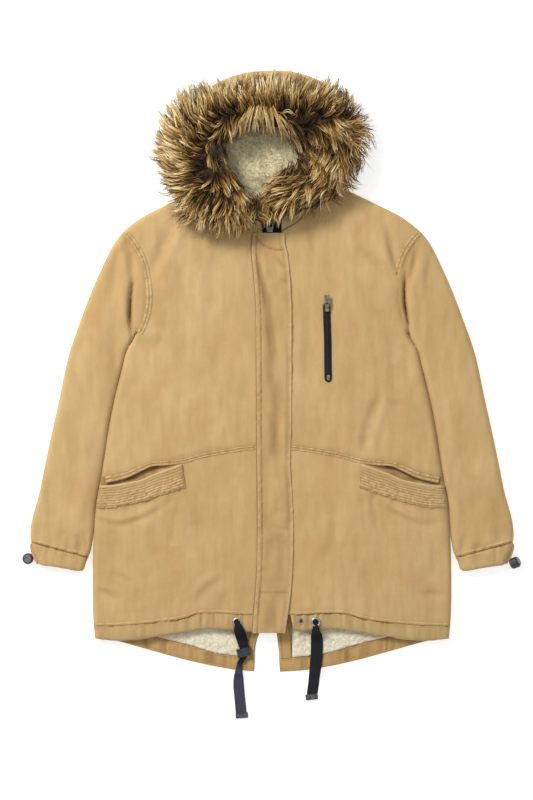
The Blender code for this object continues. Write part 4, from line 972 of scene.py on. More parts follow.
# ---- hood: shell, pile lining and what joins it to the neck
hood = {
    "outline": ((101, 483), (142, 516), (146, 556), (138, 598), (114, 634), (84, 659), (44, 674), (-4, 677),
                (-50, 673), (-88, 660), (-124, 634), (-150, 600), (-159, 556), (-148, 516), (-101, 483)),
    "chord": 76.0, "chordY": 480.6, "rimHigh": 33.0, "rimMargin": 12.0, "cotton": 2.2, "gusset": 2.0,
    "pile": 3.0,
}
fur = {
    "middle": (-25.0, 506.0), "bedMiddle": 47.0, "bedHalf": 15.0,
    "reach": ((-75, 62, 108), (-62, 50, 112), (-48, 42, 136), (-24, 41, 174), (4, 58, 201), (24, 70, 215),
              (44, 62, 202), (66, 50, 170), (90, 47, 160), (112, 50, 160), (134, 57, 190), (168, 66, 188),
              (198, 49, 173), (218, 44, 172), (238, 52, 148), (258, 64, 126), (277.5, 63, 106)),
}


def furReach(angle):
    # how far from its middle the ring of fur starts and ends
    line = softLine(fur["reach"], 2.0)
    return np.interp(angle, line[:, 0], line[:, 1]), np.interp(angle, line[:, 0], line[:, 2])


def roundFur(angle, reach):
    turn = np.radians(angle)
    return fur["middle"][0] + reach * np.cos(turn), fur["middle"][1] + reach * np.sin(turn)


def rimAt(angle):
    return roundFur(angle, furReach(angle)[0] + hood["rimMargin"])


def hoodSection(share, inset, lift, first):
    # from the rim round the outline and underneath to the back neck
    outline = softLine(hood["outline"], 4.0)
    at = atShares(outline, [share])[0]
    middle = np.array((0.0, min(560.0, at[1] + 12.0)))
    inward = (middle - at) / np.linalg.norm(middle - at)
    angle = math.degrees(math.atan2(at[1] - fur["middle"][1], at[0] - fur["middle"][0]))
    angle += 360.0 if angle < -60.0 else 0.0
    rim = np.array((*rimAt(angle), hood["rimHigh"]))
    chord = np.array((hood["chord"] * math.cos(math.pi * share), hood["chordY"] + inset, lift))

    def spot(step, high):
        return np.append(at + inward * step, high)
    foot = spot(14.0 + inset, lift)
    rows = [rim, rim + (spot(0.0, 31.0) - rim) * 0.55, spot(6.0 + inset, 25.0 - inset), spot(inset, 13.0),
            spot(4.0 + inset, 3.5 + lift), foot, foot + (chord - foot) * 0.5, chord]
    return np.array(rows[first:])


def hoodShell():
    rows = []
    for share in evenly(110):
        line = softLine(hoodSection(share, 0.0, 0.0, 0), 3.0)
        rows.append(atShares(line, np.concatenate([np.linspace(0.0, 0.62, 34), np.linspace(0.66, 1.0, 8)])))
    spots = np.array(rows)
    x, y = spots[..., 0], spots[..., 1]
    top = unit((spots[..., 2] - 13.0) / 12.0)
    wave = 1.5 * softNoise(x, y, 26.0, 20.0, 81) + 0.7 * softNoise(x, y, 11.0, 13.0, 82)
    wave += foldField(x, y, [(6, -1.8, -40, 672, -34, 655, -30, 640), (7, -1.6, 30, 672, 36, 656, 34, 640),
                             (7, 1.3, -80, 660, -70, 645, -64, 630), (7, 1.2, 70, 664, 66, 650, 62, 636)])
    spots[..., 2] += top * wave
    piece = thickSheet("hood_cloth", spots, hood["cotton"])
    restFlat(piece)
    finishCloth(piece, stands=("hood_shell",))
    # the gusset between hood and neck seam, one on each side
    for word, side in sides.items():
        angles = np.linspace(-12.0, -64.0, 24) if side > 0 else np.linspace(196.0, 268.0, 24)
        neck = atShares(softLine(cut["neckline"])[::-1], evenly(24))
        strip = []
        for angle, seam in zip(angles, neck):
            rimX, rimY = rimAt(angle)
            rimX = max(rimX * side, 17.8) * side
            between = rimX * 0.5 + seam[0] * side * 0.5, rimY * 0.5 + seam[1] * 0.5, 31.5
            ends = np.array([(rimX, rimY, hood["rimHigh"]), between,
                             (max(seam[0], 17.5) * side, seam[1] + 1.5, 26.5)])
            strip.append(atShares(softLine(ends, 3.0), evenly(14)))
        strip = np.array(strip)
        strip[..., 2] += 0.9 * noiseOver(strip, 12.0, 12.0, 85)
        gusset = thickSheet(f"hood_gusset_{word}", strip, hood["gusset"])
        finishCloth(gusset, (mirrored(softLine(cut["neckline"]), side),))


def pileLumps(x, y, seed):
    # curls gathered into small knots
    return (1.5 * softNoise(x, y, 5.0, 5.5, seed) + 0.9 * softNoise(x, y, 2.6, 2.8, seed + 1)
            + 1.1 * softNoise(x, y, 13.0, 11.0, seed + 2))


def finishPile(piece, deep, stands=()):
    addMark(piece, "deep", np.full(len(piece.data.vertices), deep))
    smoothAll(piece, 80.0)
    finishPiece(piece, hoodPile, "coat", stands)


def hoodLining():
    rows, floors = [], []
    shares, down = evenly(106), evenly(40)
    for share in shares:
        line = softLine(hoodSection(share, hood["cotton"] + 2.6, hood["cotton"] + 2.0, 2), 3.0)
        rows.append(atShares(line, down))
        floors.append(unit((down * lineLength(line) - 26.0) / 16.0))
    spots, floor = np.array(rows), np.array(floors)
    lumps = pileLumps(spots[..., 0], spots[..., 1], 91)
    spots[..., 2] += lumps * (0.3 + 0.7 * floor) + 7.0 * floor - 1.5 * (1.0 - floor)
    piece = thickSheet("hood_pile", spots, hood["pile"])
    restFlat(piece)
    finishPile(piece, 0.0, ("hood_lining",))
    # pile inside the back neck, seen through the opening, darkened by painted shade
    across, along = np.meshgrid(np.linspace(-92.0, 92.0, 66), np.linspace(384.0, 486.0, 38))
    shrink = unit((along - 384.0) / 96.0) * 0.55 + 0.42
    x = across * shrink
    high = 12.5 + pileLumps(x, along, 95) + 5.0 * (np.abs(across) / 92.0) ** 3
    neck = thickSheet("neck_pile", joined(x, along, high), hood["pile"])
    finishPile(neck, 0.35)


hoodShell()
hoodLining()
print("hood ready")


# ---- many thin strands as one mesh
def strandMesh(name, paths, widths, marks, sideCount=3):
    # paths: strands x points x 3 in millimetres; widths: strands x points
    strands, points = paths.shape[:2]
    run = np.gradient(paths, axis=1)
    run /= np.maximum(np.linalg.norm(run, axis=2, keepdims=True), 1e-6)
    across = np.cross(run, np.array((0.0, 0.0, 1.0)))
    across /= np.maximum(np.linalg.norm(across, axis=2, keepdims=True), 1e-6)
    up = np.cross(across, run)
    turn = np.arange(sideCount) / sideCount * 2.0 * np.pi
    ring = (np.cos(turn)[None, None, :, None] * across[:, :, None]
            + np.sin(turn)[None, None, :, None] * up[:, :, None] * 0.6)
    rings = (paths[:, :, None] + ring * widths[:, :, None, None] * 0.5)[:, :-1].reshape(strands, -1, 3)
    verts = np.concatenate([rings, paths[:, -1:]], axis=1)
    per = verts.shape[1]
    faces = []
    for row in range(points - 2):
        for k in range(sideCount):
            a, b = row * sideCount + k, row * sideCount + (k + 1) % sideCount
            faces.append((a, b, b + sideCount, a + sideCount))
    last = (points - 2) * sideCount
    tips = [(last + k, last + (k + 1) % sideCount, per - 1) for k in range(sideCount)]
    start = tuple(reversed(range(sideCount)))
    mesh = bpy.data.meshes.new(name)
    offset = (np.arange(strands) * per)[:, None, None]
    quads = (np.array(faces)[None] + offset).reshape(-1)
    tris = (np.array(tips + ([start] if sideCount == 3 else []))[None] + offset).reshape(-1)
    quadCount, triCount = len(quads) // 4, len(tris) // 3
    mesh.vertices.add(strands * per)
    mesh.vertices.foreach_set("co", (verts.reshape(-1) * mm).astype(np.float32))
    mesh.loops.add(len(quads) + len(tris))
    mesh.loops.foreach_set("vertex_index", np.concatenate([quads, tris]).astype(np.int32))
    mesh.polygons.add(quadCount + triCount)
    starts = np.concatenate([np.arange(quadCount) * 4, quadCount * 4 + np.arange(triCount) * 3])
    mesh.polygons.foreach_set("loop_start", starts.astype(np.int32))
    mesh.update(calc_edges=True)
    mesh.validate()
    piece = bpy.data.objects.new(name, mesh)
    bpy.context.scene.collection.objects.link(piece)
    mesh.shade_smooth()
    for word, values in marks.items():
        full = np.concatenate([np.repeat(values[:, :-1], sideCount, axis=1), values[:, -1:]], axis=1)
        addMark(piece, word, full)
    return piece


# ---- fur trim: locks that follow a flow, over a dark bed
# flow: place, where the locks point, their length, how much they curl
furFlow = np.array((
    (-17, 620, 0.10, 1.00, 46, 4), (10, 625, 0.22, 0.98, 46, 4), (45, 628, 0.30, 0.95, 48, 5),
    (-50, 622, -0.22, 0.97, 46, 4), (-90, 615, -0.42, 0.90, 48, 6), (82, 622, 0.30, 0.90, 46, 7),
    (120, 612, 0.45, 0.80, 40, 9), (150, 585, 0.80, 0.45, 38, 10), (158, 545, 0.80, -0.35, 46, 9),
    (160, 510, 0.62, -0.72, 48, 9), (150, 470, 0.50, -0.80, 46, 9), (120, 612, 0.20, 0.60, 40, 10),
    (-125, 605, -0.22, 0.97, 58, 5), (-160, 590, -0.30, 0.95, 62, 5), (-185, 560, -0.52, 0.85, 62, 5),
    (-190, 525, -0.78, 0.62, 58, 5), (-190, 490, -0.93, 0.36, 56, 6), (-175, 455, -0.97, 0.12, 50, 7),
    (-150, 425, -0.75, -0.50, 42, 8), (-115, 405, -0.45, -0.85, 42, 9), (-80, 395, -0.30, -0.95, 40, 9),
    (-45, 392, 0.15, -0.98, 38, 10), (-150, 550, -0.70, 0.55, 50, 6), (-140, 500, -0.85, 0.15, 46, 9),
    (-130, 465, -0.75, -0.35, 42, 10), (-100, 435, -0.20, -0.90, 40, 10), (-60, 425, 0.10, -0.95, 38, 9),
    (-95, 520, 0.25, -0.97, 44, 5), (-90, 495, 0.30, -0.95, 46, 6), (-82, 470, 0.50, -0.86, 44, 7),
    (-62, 445, 0.65, -0.75, 38, 7), (-80, 560, -0.15, -0.98, 40, 5), (-60, 572, 0.05, -1.00, 44, 3),
    (-30, 578, 0.03, -1.00, 46, 3), (0, 578, 0.10, -0.99, 46, 3), (30, 568, 0.30, -0.95, 44, 4),
    (48, 550, 0.35, -0.92, 40, 5), (-110, 570, -0.60, 0.50, 44, 7), (-45, 595, -0.20, 0.60, 34, 6),
    (0, 598, 0.20, 0.60, 34, 6), (60, 590, 0.30, 0.50, 36, 9), (55, 525, 0.25, -0.97, 48, 12),
    (70, 500, 0.05, -1.00, 48, 13), (62, 470, -0.45, -0.88, 46, 12), (40, 450, -0.72, -0.68, 44, 10),
    (15, 440, -0.70, -0.70, 38, 9), (90, 540, 0.30, -0.80, 44, 10), (100, 500, -0.25, -0.92, 46, 12),
    (100, 460, -0.70, -0.60, 48, 11), (70, 430, -0.90, -0.30, 48, 10), (40, 415, -0.75, -0.55, 40, 9),
    (130, 440, 0.50, -0.75, 42, 8), (105, 420, 0.25, -0.90, 40, 8), (75, 405, 0.10, -0.95, 36, 8),
    (130, 520, 0.25, -0.95, 52, 9), (118, 570, 0.34, -0.92, 56, 5), (20, 402, 0.20, -0.95, 30, 7),
    (-15, 410, 0.35, -0.90, 30, 8),
), float)
# spots of painted shade among the locks, and where they are paler: place, reach, strength
furShadeSpots = (((65, 578), 26, 0.88), ((60, 548), 16, 0.8), ((-84, 586), 15, 0.85), ((-110, 575), 14, 0.6),
           ((-94, 526), 15, 0.85), ((-137, 504), 12, 0.85), ((-95, 545), 12, 0.6), ((26, 537), 10, 0.6),
           ((140, 599), 11, 0.85), ((112, 545), 13, 0.55), ((-50, 610), 13, 0.65), ((-16, 620), 10, 0.5),
           ((18, 612), 13, 0.6), ((110, 445), 14, 0.5), ((-130, 440), 14, 0.5), ((-20, 425), 14, 0.6),
           ((-85, 480), 11, 0.45), ((-150, 470), 11, 0.5), ((70, 415), 12, 0.45), ((-100, 415), 12, 0.5))
furPale = (((-16, 578), 34, 0.34), ((-182, 545), 30, 0.22), ((124, 566), 20, 0.30), ((-15, 645), 30, 0.16),
           ((92, 500), 26, 0.14), ((30, 450), 18, 0.18), ((-55, 430), 16, 0.12), ((-170, 600), 20, 0.15))
furGrey = (((-94, 526), 13, 0.85), ((38, 543), 12, 0.7), ((-128, 500), 8, 0.5), ((133, 600), 8, 0.5))
furLayers = (  # under: dense, darkened as painted shade between the locks; guard: long combed locks over it; wisp: single fine hairs on top
    {"clumps": 820, "strands": 4, "spread": 3.8, "meet": 0.30, "loose": 0.08, "thin": 1.5, "wide": 2.5,
     "low": 0.0,
     "shade": 0.50, "tips": 0.05, "swing": 0.16, "long": 1.0},
    {"clumps": 780, "strands": 7, "spread": 2.3, "meet": 0.46, "loose": 0.03, "thin": 1.2, "wide": 2.6,
     "low": 4.0,
     "shade": 1.05, "tips": 0.30, "swing": 0.15, "long": 1.25},
    {"clumps": 300, "strands": 3, "spread": 2.0, "meet": 0.1, "loose": 0.10, "thin": 0.6, "wide": 1.1,
     "low": 7.0,
     "shade": 1.1, "tips": 0.40, "swing": 0.30, "long": 1.30},
)
furSeed, furPoints = 7, 7


def flowAt(x, y):
    gap = (x[:, None] - furFlow[None, :, 0]) ** 2 + (y[:, None] - furFlow[None, :, 1]) ** 2
    weight = 1.0 / (gap + 140.0) ** 2
    weight /= weight.sum(axis=1, keepdims=True)
    mean = weight @ furFlow[:, 2:]
    size = np.maximum(np.linalg.norm(mean[:, :2], axis=1, keepdims=True), 1e-6)
    return mean[:, :2] / size, mean[:, 2], mean[:, 3]


def spotsAt(x, y, places):
    amount = np.zeros(np.shape(x))
    for (px, py), reach, strength in places:
        amount = np.maximum(amount, strength * np.exp(-((x - px) ** 2 + (y - py) ** 2) / reach ** 2))
    return amount


def turnBy(way, angle):
    return joined(way[..., 0] * np.cos(angle) - way[..., 1] * np.sin(angle),
                  way[..., 0] * np.sin(angle) + way[..., 1] * np.cos(angle))


def combPath(x, y, swing, length):
    # centre lines that follow the flow from their roots
    path = [joined(x, y)]
    for k in range(furPoints - 1):
        way = turnBy(flowAt(path[-1][:, 0], path[-1][:, 1])[0], swing * (1.0 - 0.6 * k / furPoints))
        path.append(path[-1] + way * (length / (furPoints - 1))[:, None])
    return np.stack(path, axis=1)


def furBed():
    # the dense underfur, kept inside the reach of the locks; its dark colour is painted shade between the
    # locks
    angles = np.linspace(-72.0, 274.5, 190)
    ring = np.linspace(0.0, 2.0 * np.pi, 34)
    inner, outer = furReach(angles)
    rows = []
    for angle, low, high in zip(angles, inner + 22.0, outer - 24.0):
        x, y = roundFur(angle, (high + low) / 2.0 + (high - low) / 2.0 * np.cos(ring))
        z = fur["bedMiddle"] + fur["bedHalf"] * np.sign(np.sin(ring)) * np.abs(np.sin(ring)) ** 0.8
        rows.append(joined(x, y, z))
    spots = np.array(rows)
    x, y = spots[..., 0], spots[..., 1]
    lumps = np.where(np.sin(ring)[None] > 0, 2.2, 0.8) * softNoise(x, y, 9.0, 9.0, 101)
    spots[..., 2] += lumps + 1.0 * softNoise(x, y, 4.0, 4.0, 102)
    spots[:, -1] = spots[:, 0]
    bed = sheetMesh("fur_bed", spots, wrap=True)
    startEdit(bed)
    bpy.ops.mesh.fill_holes(sides=0)
    bpy.ops.mesh.normals_make_consistent(inside=False)
    endEdit()
    count = len(bed.data.vertices)
    addMark(bed, "along", np.full(count, 0.14))
    addMark(bed, "tone", np.zeros(count))
    smoothAll(bed, 80.0)
    finishPiece(bed, furLocks, "coat", ("fur_trim",))


def angleRound(x, y):
    angle = np.degrees(np.arctan2(y - fur["middle"][1], x - fur["middle"][0]))
    return np.where(angle < -80.0, angle + 360.0, angle)


def growLayer(rng, layer):
    clumps, strands = layer["clumps"], layer["strands"]
    angle = rng.uniform(-76.0, 277.5, clumps * 4)
    inner, outer = furReach(angle)
    reach = inner + 3.0 + (outer - inner - 20.0) * rng.uniform(0.0, 1.0, clumps * 4)
    keep = rng.uniform(0.0, 190.0, clumps * 4) < reach  # even cover over the ring
    angle, reach = angle[keep][:clumps], reach[keep][:clumps]
    clumps = len(angle)
    x, y = roundFur(angle, reach)
    way, length, curl = flowAt(x, y)
    swing = rng.normal(0.0, layer["swing"], clumps) + 0.34 * softNoise(x, y, 34.0, 34.0, 105)
    length = length * layer["long"] * rng.uniform(0.72, 1.10, clumps)
    # locks whose tips would cover the opening or stand out too far are rooted further back
    spare, beyond = rng.uniform(-3.0, 8.0, clumps), rng.normal(-2.0, 7.0, clumps)
    for _ in range(4):
        path = combPath(x, y, swing, length)
        low, high = furReach(angleRound(path[:, -1, 0], path[:, -1, 1]))
        reachTip = np.hypot(path[:, -1, 0] - fur["middle"][0], path[:, -1, 1] - fur["middle"][1])
        back = np.clip(low + spare - reachTip, 0.0, None) + np.clip(reachTip - high - beyond, 0.0, None)
        run = path[:, -1] - path[:, 0]
        run /= np.linalg.norm(run, axis=1, keepdims=True)
        x, y = x - run[:, 0] * back, y - run[:, 1] * back
    path = combPath(x, y, swing, length)
    rootAngle = angleRound(x, y)
    low, high = furReach(rootAngle)
    share = np.clip((np.hypot(x - fur["middle"][0], y - fur["middle"][1]) - low) / (high - low), 0.02, 0.98)
    many = np.repeat(np.arange(clumps), strands)
    total = len(many)
    away = rng.normal(0.0, layer["spread"], (total, 2))
    scale = rng.uniform(0.84, 1.06, total)[:, None, None]
    drift = turnBy((path - path[:, :1])[many], rng.normal(0.0, layer["loose"], total)[:, None]) * scale
    ahead = drift[:, -1] / np.linalg.norm(drift[:, -1], axis=1, keepdims=True)
    aside = joined(-ahead[:, 1], ahead[:, 0])
    # neighbours bend the same way, so that the fur looks combed
    bendWay = np.sign(softNoise(x, y, 42.0, 42.0, 109) + rng.normal(0.0, 0.22, clumps))
    bend = (0.75 * curl * rng.uniform(0.5, 1.3, clumps) * bendWay)[many] + rng.normal(0.0, 0.5, total)
    phase = (0.65 + 0.6 * softNoise(x, y, 28.0, 28.0, 107)
             + rng.normal(0.0, 0.10, clumps))[many] + rng.normal(0.0, 0.04, total)
    t = evenly(furPoints)[None]
    meet = 1.0 - layer["meet"] * t ** 1.5 - (0.9 - layer["meet"]) * t ** 3
    wavy = bend[:, None] * (np.sin(np.pi * (1.5 * t + phase[:, None]))
                            - np.sin(np.pi * phase[:, None])) * (0.35 + 0.65 * t)
    px = x[many][:, None] + away[:, :1] * meet + drift[..., 0] + aside[:, :1] * wavy
    py = y[many][:, None] + away[:, 1:] * meet + drift[..., 1] + aside[:, 1:] * wavy
    tall = 40.0 + layer["low"] + 21.0 * np.sin(np.pi * share ** 0.9)[many]
    tall = tall + rng.normal(0.0, 1.3, clumps)[many] + rng.normal(0.0, 0.9, total)
    inwards = (ahead[:, 0] * (fur["middle"][0] - px[:, 0]) + ahead[:, 1] * (fur["middle"][1] - py[:, 0])) > 0
    lift = rng.uniform(4.0, 16.0, clumps)[many] + rng.normal(0.0, 1.0, total)
    fall = np.where(inwards, rng.uniform(20.0, 32.0, clumps)[many], rng.uniform(12.0, 28.0, clumps)[many])
    pz = np.clip(tall[:, None] + lift[:, None] * np.sin(np.pi * np.minimum(t * 0.8, 1.0))
                 - fall[:, None] * t ** 2, 27.5, 86.0)
    py = np.minimum(py, 712.0)
    taper = np.interp(t, (0.0, 0.2, 0.55, 0.85, 1.0), (0.7, 1.0, 0.9, 0.40, 0.0))
    wide = rng.uniform(layer["thin"], layer["wide"], total)[:, None] * taper
    bright = np.clip(rng.normal(0.0, 0.15, clumps)[many] + rng.normal(0.0, 0.18, total), -0.45, 0.45)[:, None]
    dark, pale = spotsAt(px, py, furShadeSpots), spotsAt(px, py, furPale)
    # painted shade: locks in the shade spots lose most of their paleness
    along = unit((t * (1.10 + bright) * layer["shade"] + 0.04 + bright * 0.38
                  + pale * layer["shade"] * np.minimum(t * 3.0, 1.0)) * (1.0 - 0.8 * dark))
    tipped = (rng.uniform(0.0, 1.0, clumps) < layer["tips"] + 0.35 * (share > 0.72))[many][:, None]
    tone = np.maximum(np.where(tipped, unit((t - 0.70) / 0.22), 0.0), spotsAt(px, py, furGrey))
    return joined(px, py, pz), wide, along, tone, rootAngle[many]


band = {"locks": 30, "strands": 7, "root": (-16.0, 612.0), "gather": 0.44, "from": 34.0, "to": 143.0}


def innerBand(rng):
    # pale locks that hang over the top of the opening
    angle = np.linspace(band["from"], band["to"], band["locks"]) + rng.normal(0.0, 1.2, band["locks"])
    tipX, tipY = roundFur(angle, furReach(angle)[0] + rng.uniform(-4.0, 5.0, band["locks"]))
    rootX = band["root"][0] + band["gather"] * (tipX - band["root"][0]) + rng.normal(0.0, 2.0, band["locks"])
    rootY = band["root"][1] - 0.16 * np.abs(tipX - band["root"][0]) + rng.normal(0.0, 3.0, band["locks"])
    many = np.repeat(np.arange(band["locks"]), band["strands"])
    total = len(many)
    t = evenly(furPoints)[None]
    away = rng.normal(0.0, 1.5, (total, 2))
    close = 1.0 - 0.75 * t ** 2
    bow = (0.10 * (tipX - rootX) + rng.normal(0.0, 1.5, band["locks"]))[many][:, None] * np.sin(np.pi * t)
    sway = (rng.normal(0.0, 1.4, band["locks"])[many]
            + rng.normal(0.0, 0.4, total))[:, None] * np.sin(2.2 * np.pi * t)
    reach = rng.uniform(0.88, 1.03, total)[:, None]
    px = rootX[many][:, None] + (tipX - rootX)[many][:, None] * t * reach + away[:, :1] * close + bow + sway
    py = rootY[many][:, None] + (tipY - rootY)[many][:, None] * t * reach + away[:, 1:] * close
    pz = 68.0 + rng.normal(0.0, 1.2, band["locks"])[many][:, None] + 6.0 * np.sin(np.pi * t) - 22.0 * t ** 2
    pz = pz + rng.normal(0.0, 0.6, total)[:, None]
    wide = rng.uniform(0.9, 2.0, total)[:, None] * np.interp(t, (0.0, 0.3, 0.8, 1.0), (0.7, 1.0, 0.6, 0.0))
    along = unit(0.42 + 0.5 * t ** 0.7 + rng.normal(0.0, 0.16, total)[:, None])
    tone = np.where((rng.uniform(0.0, 1.0, total) < 0.25)[:, None], unit((t - 0.75) / 0.2), 0.0)
    return joined(px, py, pz), wide, along, tone, angle[many]


def rimLocks(rng, clumps=125, strands=6):
    # locks that stand out past the outline, thin and often dark at their ends
    angle = rng.uniform(12.0, 220.0, clumps)
    outer = furReach(angle)[1]
    turn = np.radians(angle)
    way = flowAt(*roundFur(angle, outer - 24.0))[0] + 0.7 * joined(np.cos(turn), np.sin(turn))
    way /= np.linalg.norm(way, axis=1, keepdims=True)
    tipX, tipY = roundFur(angle, outer + rng.normal(3.0, 6.0, clumps))
    many = np.repeat(np.arange(clumps), strands)
    total = len(many)
    t = evenly(furPoints)[None]
    long = (rng.uniform(38.0, 62.0, clumps)[many] * rng.uniform(0.85, 1.0, total))[:, None]
    ahead = turnBy(way[many], rng.normal(0.0, 0.07, total))
    away = rng.normal(0.0, 2.0, (total, 2))
    close = 1.0 - 0.85 * t ** 2
    bend = (rng.normal(0.0, 5.0, clumps)[many]
            + rng.normal(0.0, 1.0, total))[:, None] * np.sin(0.9 * np.pi * t)
    px = tipX[many][:, None] - ahead[:, :1] * long * (1.0 - t) - ahead[:, 1:] * bend + away[:, :1] * close
    py = np.minimum(tipY[many][:, None] - ahead[:, 1:] * long * (1.0 - t) + ahead[:, :1] * bend
                    + away[:, 1:] * close, 712.0)
    pz = 55.0 + rng.normal(0.0, 2.0, clumps)[many][:, None] + 9.0 * np.sin(np.pi * t) - 17.0 * t ** 2
    taper = np.interp(t, (0.0, 0.25, 0.6, 0.85, 1.0), (0.7, 1.0, 0.8, 0.35, 0.0))
    wide = rng.uniform(0.9, 2.1, total)[:, None] * taper
    bright = (rng.normal(0.0, 0.12, clumps)[many] + rng.normal(0.0, 0.12, total))[:, None]
    along = unit(0.26 + 0.62 * t ** 0.8 + bright)
    tone = np.where((rng.uniform(0.0, 1.0, clumps) < 0.55)[many][:, None], unit((t - 0.66) / 0.26), 0.0)
    return joined(px, py, pz), wide, along, tone, angle[many]


def strayHairs(rng, count=420):
    # single long hairs around the outline, grey towards their tips
    angle = rng.uniform(-50.0, 250.0, count)
    outer = furReach(angle)[1]
    x, y = roundFur(angle, outer - rng.uniform(26.0, 44.0, count))
    way = turnBy(flowAt(x, y)[0], rng.normal(0.0, 0.4, count))
    t = evenly(furPoints)[None]
    long = rng.uniform(34.0, 58.0, count)[:, None]
    bend = rng.normal(0.0, 6.0, count)[:, None] * np.sin(np.pi * 0.9 * t)
    px = x[:, None] + way[:, :1] * long * t - way[:, 1:] * bend
    py = np.minimum(y[:, None] + way[:, 1:] * long * t + way[:, :1] * bend, 714.0)
    pz = np.clip(56.0 + 8.0 * np.sin(np.pi * t) - 12.0 * t ** 2 + rng.normal(0.0, 3.0, count)[:, None] * t,
                 30.0, 86.0)
    wide = rng.uniform(0.5, 0.95, count)[:, None] * np.interp(t, (0.0, 0.3, 0.7, 1.0), (0.8, 1.0, 0.6, 0.0))
    along = np.broadcast_to(0.35 + 0.5 * t, px.shape)
    tone = np.broadcast_to(unit((t - 0.35) / 0.4), px.shape)
    return joined(px, py, pz), wide, along, tone, angle


def growFur():
    rng = np.random.default_rng(furSeed)
    grown = [growLayer(rng, layer) for layer in furLayers] + [innerBand(rng), rimLocks(rng), strayHairs(rng)]
    paths, wide, along, tone, angle = (np.concatenate([part[k] for part in grown]) for k in range(5))
    quarters = {"fur_left_low": (-80.1, 24.0), "fur_left_top": (24.0, 104.0),
                "fur_right_top": (104.0, 184.0), "fur_right_low": (184.0, 281.0)}
    for name, (low, high) in quarters.items():
        some = (angle >= low) & (angle < high)
        piece = strandMesh(name, paths[some], wide[some], {"along": along[some], "tone": tone[some]})
        finishPiece(piece, furLocks, "coat")


def growCurls():
    # short curls standing out of the pile, some of them dark
    rng = np.random.default_rng(19)
    count = 860
    x, y = rng.uniform(-98.0, 52.0, count), rng.uniform(430.0, 575.0, count)
    turn = rng.uniform(0.0, 2.0 * np.pi, count)
    t = evenly(7)[None]
    size = rng.uniform(2.0, 4.2, count)[:, None]
    sweep = rng.uniform(1.2, 3.6, count)[:, None] * rng.choice((-1.0, 1.0), count)[:, None]
    px = x[:, None] + size * np.cos(turn[:, None] + sweep * t) + size * 1.4 * t * np.cos(turn[:, None])
    py = y[:, None] + size * np.sin(turn[:, None] + sweep * t) + size * 1.4 * t * np.sin(turn[:, None])
    pz = np.where(y[:, None] < 484.0, 15.5, 14.5) + 3.2 * np.sin(np.pi * t)
    pz = pz + rng.uniform(-0.8, 1.6, count)[:, None]
    wide = rng.uniform(0.5, 1.0, count)[:, None] * np.array((0.8, 1, 1, 1, 1, 0.8, 0))[None]
    deep = np.repeat((rng.uniform(0.0, 1.0, count) < 0.30)[:, None] * 0.95, 7, axis=1)
    piece = strandMesh("hood_curls", joined(px, py, pz), wide, {"deep": deep})
    finishPiece(piece, hoodPile, "coat")


furBed()
growFur()
growCurls()
print("fur ready")


# ---- trims: raised seams, stitches, storm flap, welts and the inside of the tail
def trimSheet(name, spots, wall, paint, slot="cotton", stands=(), **marks):
    # a sheet whose colour marks are worked out point by point
    piece = thickSheet(name, spots, wall)
    for word, values in marks.items():
        addMark(piece, word, np.tile(np.ravel(np.broadcast_to(values, spots.shape[:2])), 2))
    smoothAll(piece, 70.0)
    return finishPiece(piece, paint, "coat", stands)


def levelAt(high):
    def top(x, y):
        return np.full(np.shape(x), high)
    return top


def besideLine(line, off):
    # the line moved sideways, to its left where off is positive
    run = np.gradient(line, axis=0)
    run /= np.linalg.norm(run, axis=1, keepdims=True)
    return line + joined(-run[:, 1], run[:, 0]) * off


strip = {"step": 1.3, "rib": 5, "pucker": 2.4, "sink": 0.5, "wall": 0.6}


def seamWide(line):
    # the waist seam's allowance grows towards the sides
    return 1.0 + 0.42 * unit((np.abs(line[:, :1]) - 215.0) / 85.0)


def seamStrip(name, line, side, ends, ribs, high, top, seed, dark=0.95, plain=False, wider=False):
    # ribs of gathered cloth between lines of stitching, along a seam
    low, far = sorted(side * end for end in ends)
    line = atShares(line, evenly(int(lineLength(line) / strip["step"]) + 1))
    offs = np.linspace(low, far, ribs * strip["rib"] + 1)
    share = seamWide(line) if wider else 1.0
    plan = np.stack([besideLine(line, off * share) for off in offs], axis=1)
    at = np.broadcast_to(np.linspace(0.0, lineLength(line), len(line))[:, None], plan.shape[:2])
    across = np.broadcast_to(offs[None], plan.shape[:2])
    arch = np.abs(np.sin(np.pi * (across - low) / (far - low) * ribs)) ** 0.9
    ripple = softNoise(at, across, strip["pucker"], 7.0, seed)
    ripple = ripple + 0.5 * softNoise(at, across, 7.0, 9.0, seed + 1)
    border = (across < low + 0.2) | (across > far - 0.2)
    high = high * arch * (0.8 + 0.75 * ripple) - strip["sink"] * (1.0 - arch) * border
    spots = raised(plan, top(plan[..., 0], plan[..., 1]) + high + 0.1)
    # darker between the ribs, partly dark stitching and partly painted shade; painted highlights on the rib
    # tops
    seam = unit((1.0 - arch) * dark * (0.9 + 0.5 * ripple) - 0.25 * ripple)
    wear = np.clip(arch * (0.18 + 0.6 * ripple), 0.0, 0.8)
    if plain:  # an even dark line of painted shade, or a soft roll of cloth with painted highlights
        seam, wear = unit(dark * (0.85 + 0.3 * ripple)), wear * (1.0 - min(1.0, dark * 2.0))
    trimSheet(name, spots, strip["wall"], cotton, seam=seam, wear=wear)


stitch = {"long": 2.6, "pitch": 3.6, "wide": 0.62, "arc": (-0.4, 0.10, 0.22, 0.10, -0.4)}


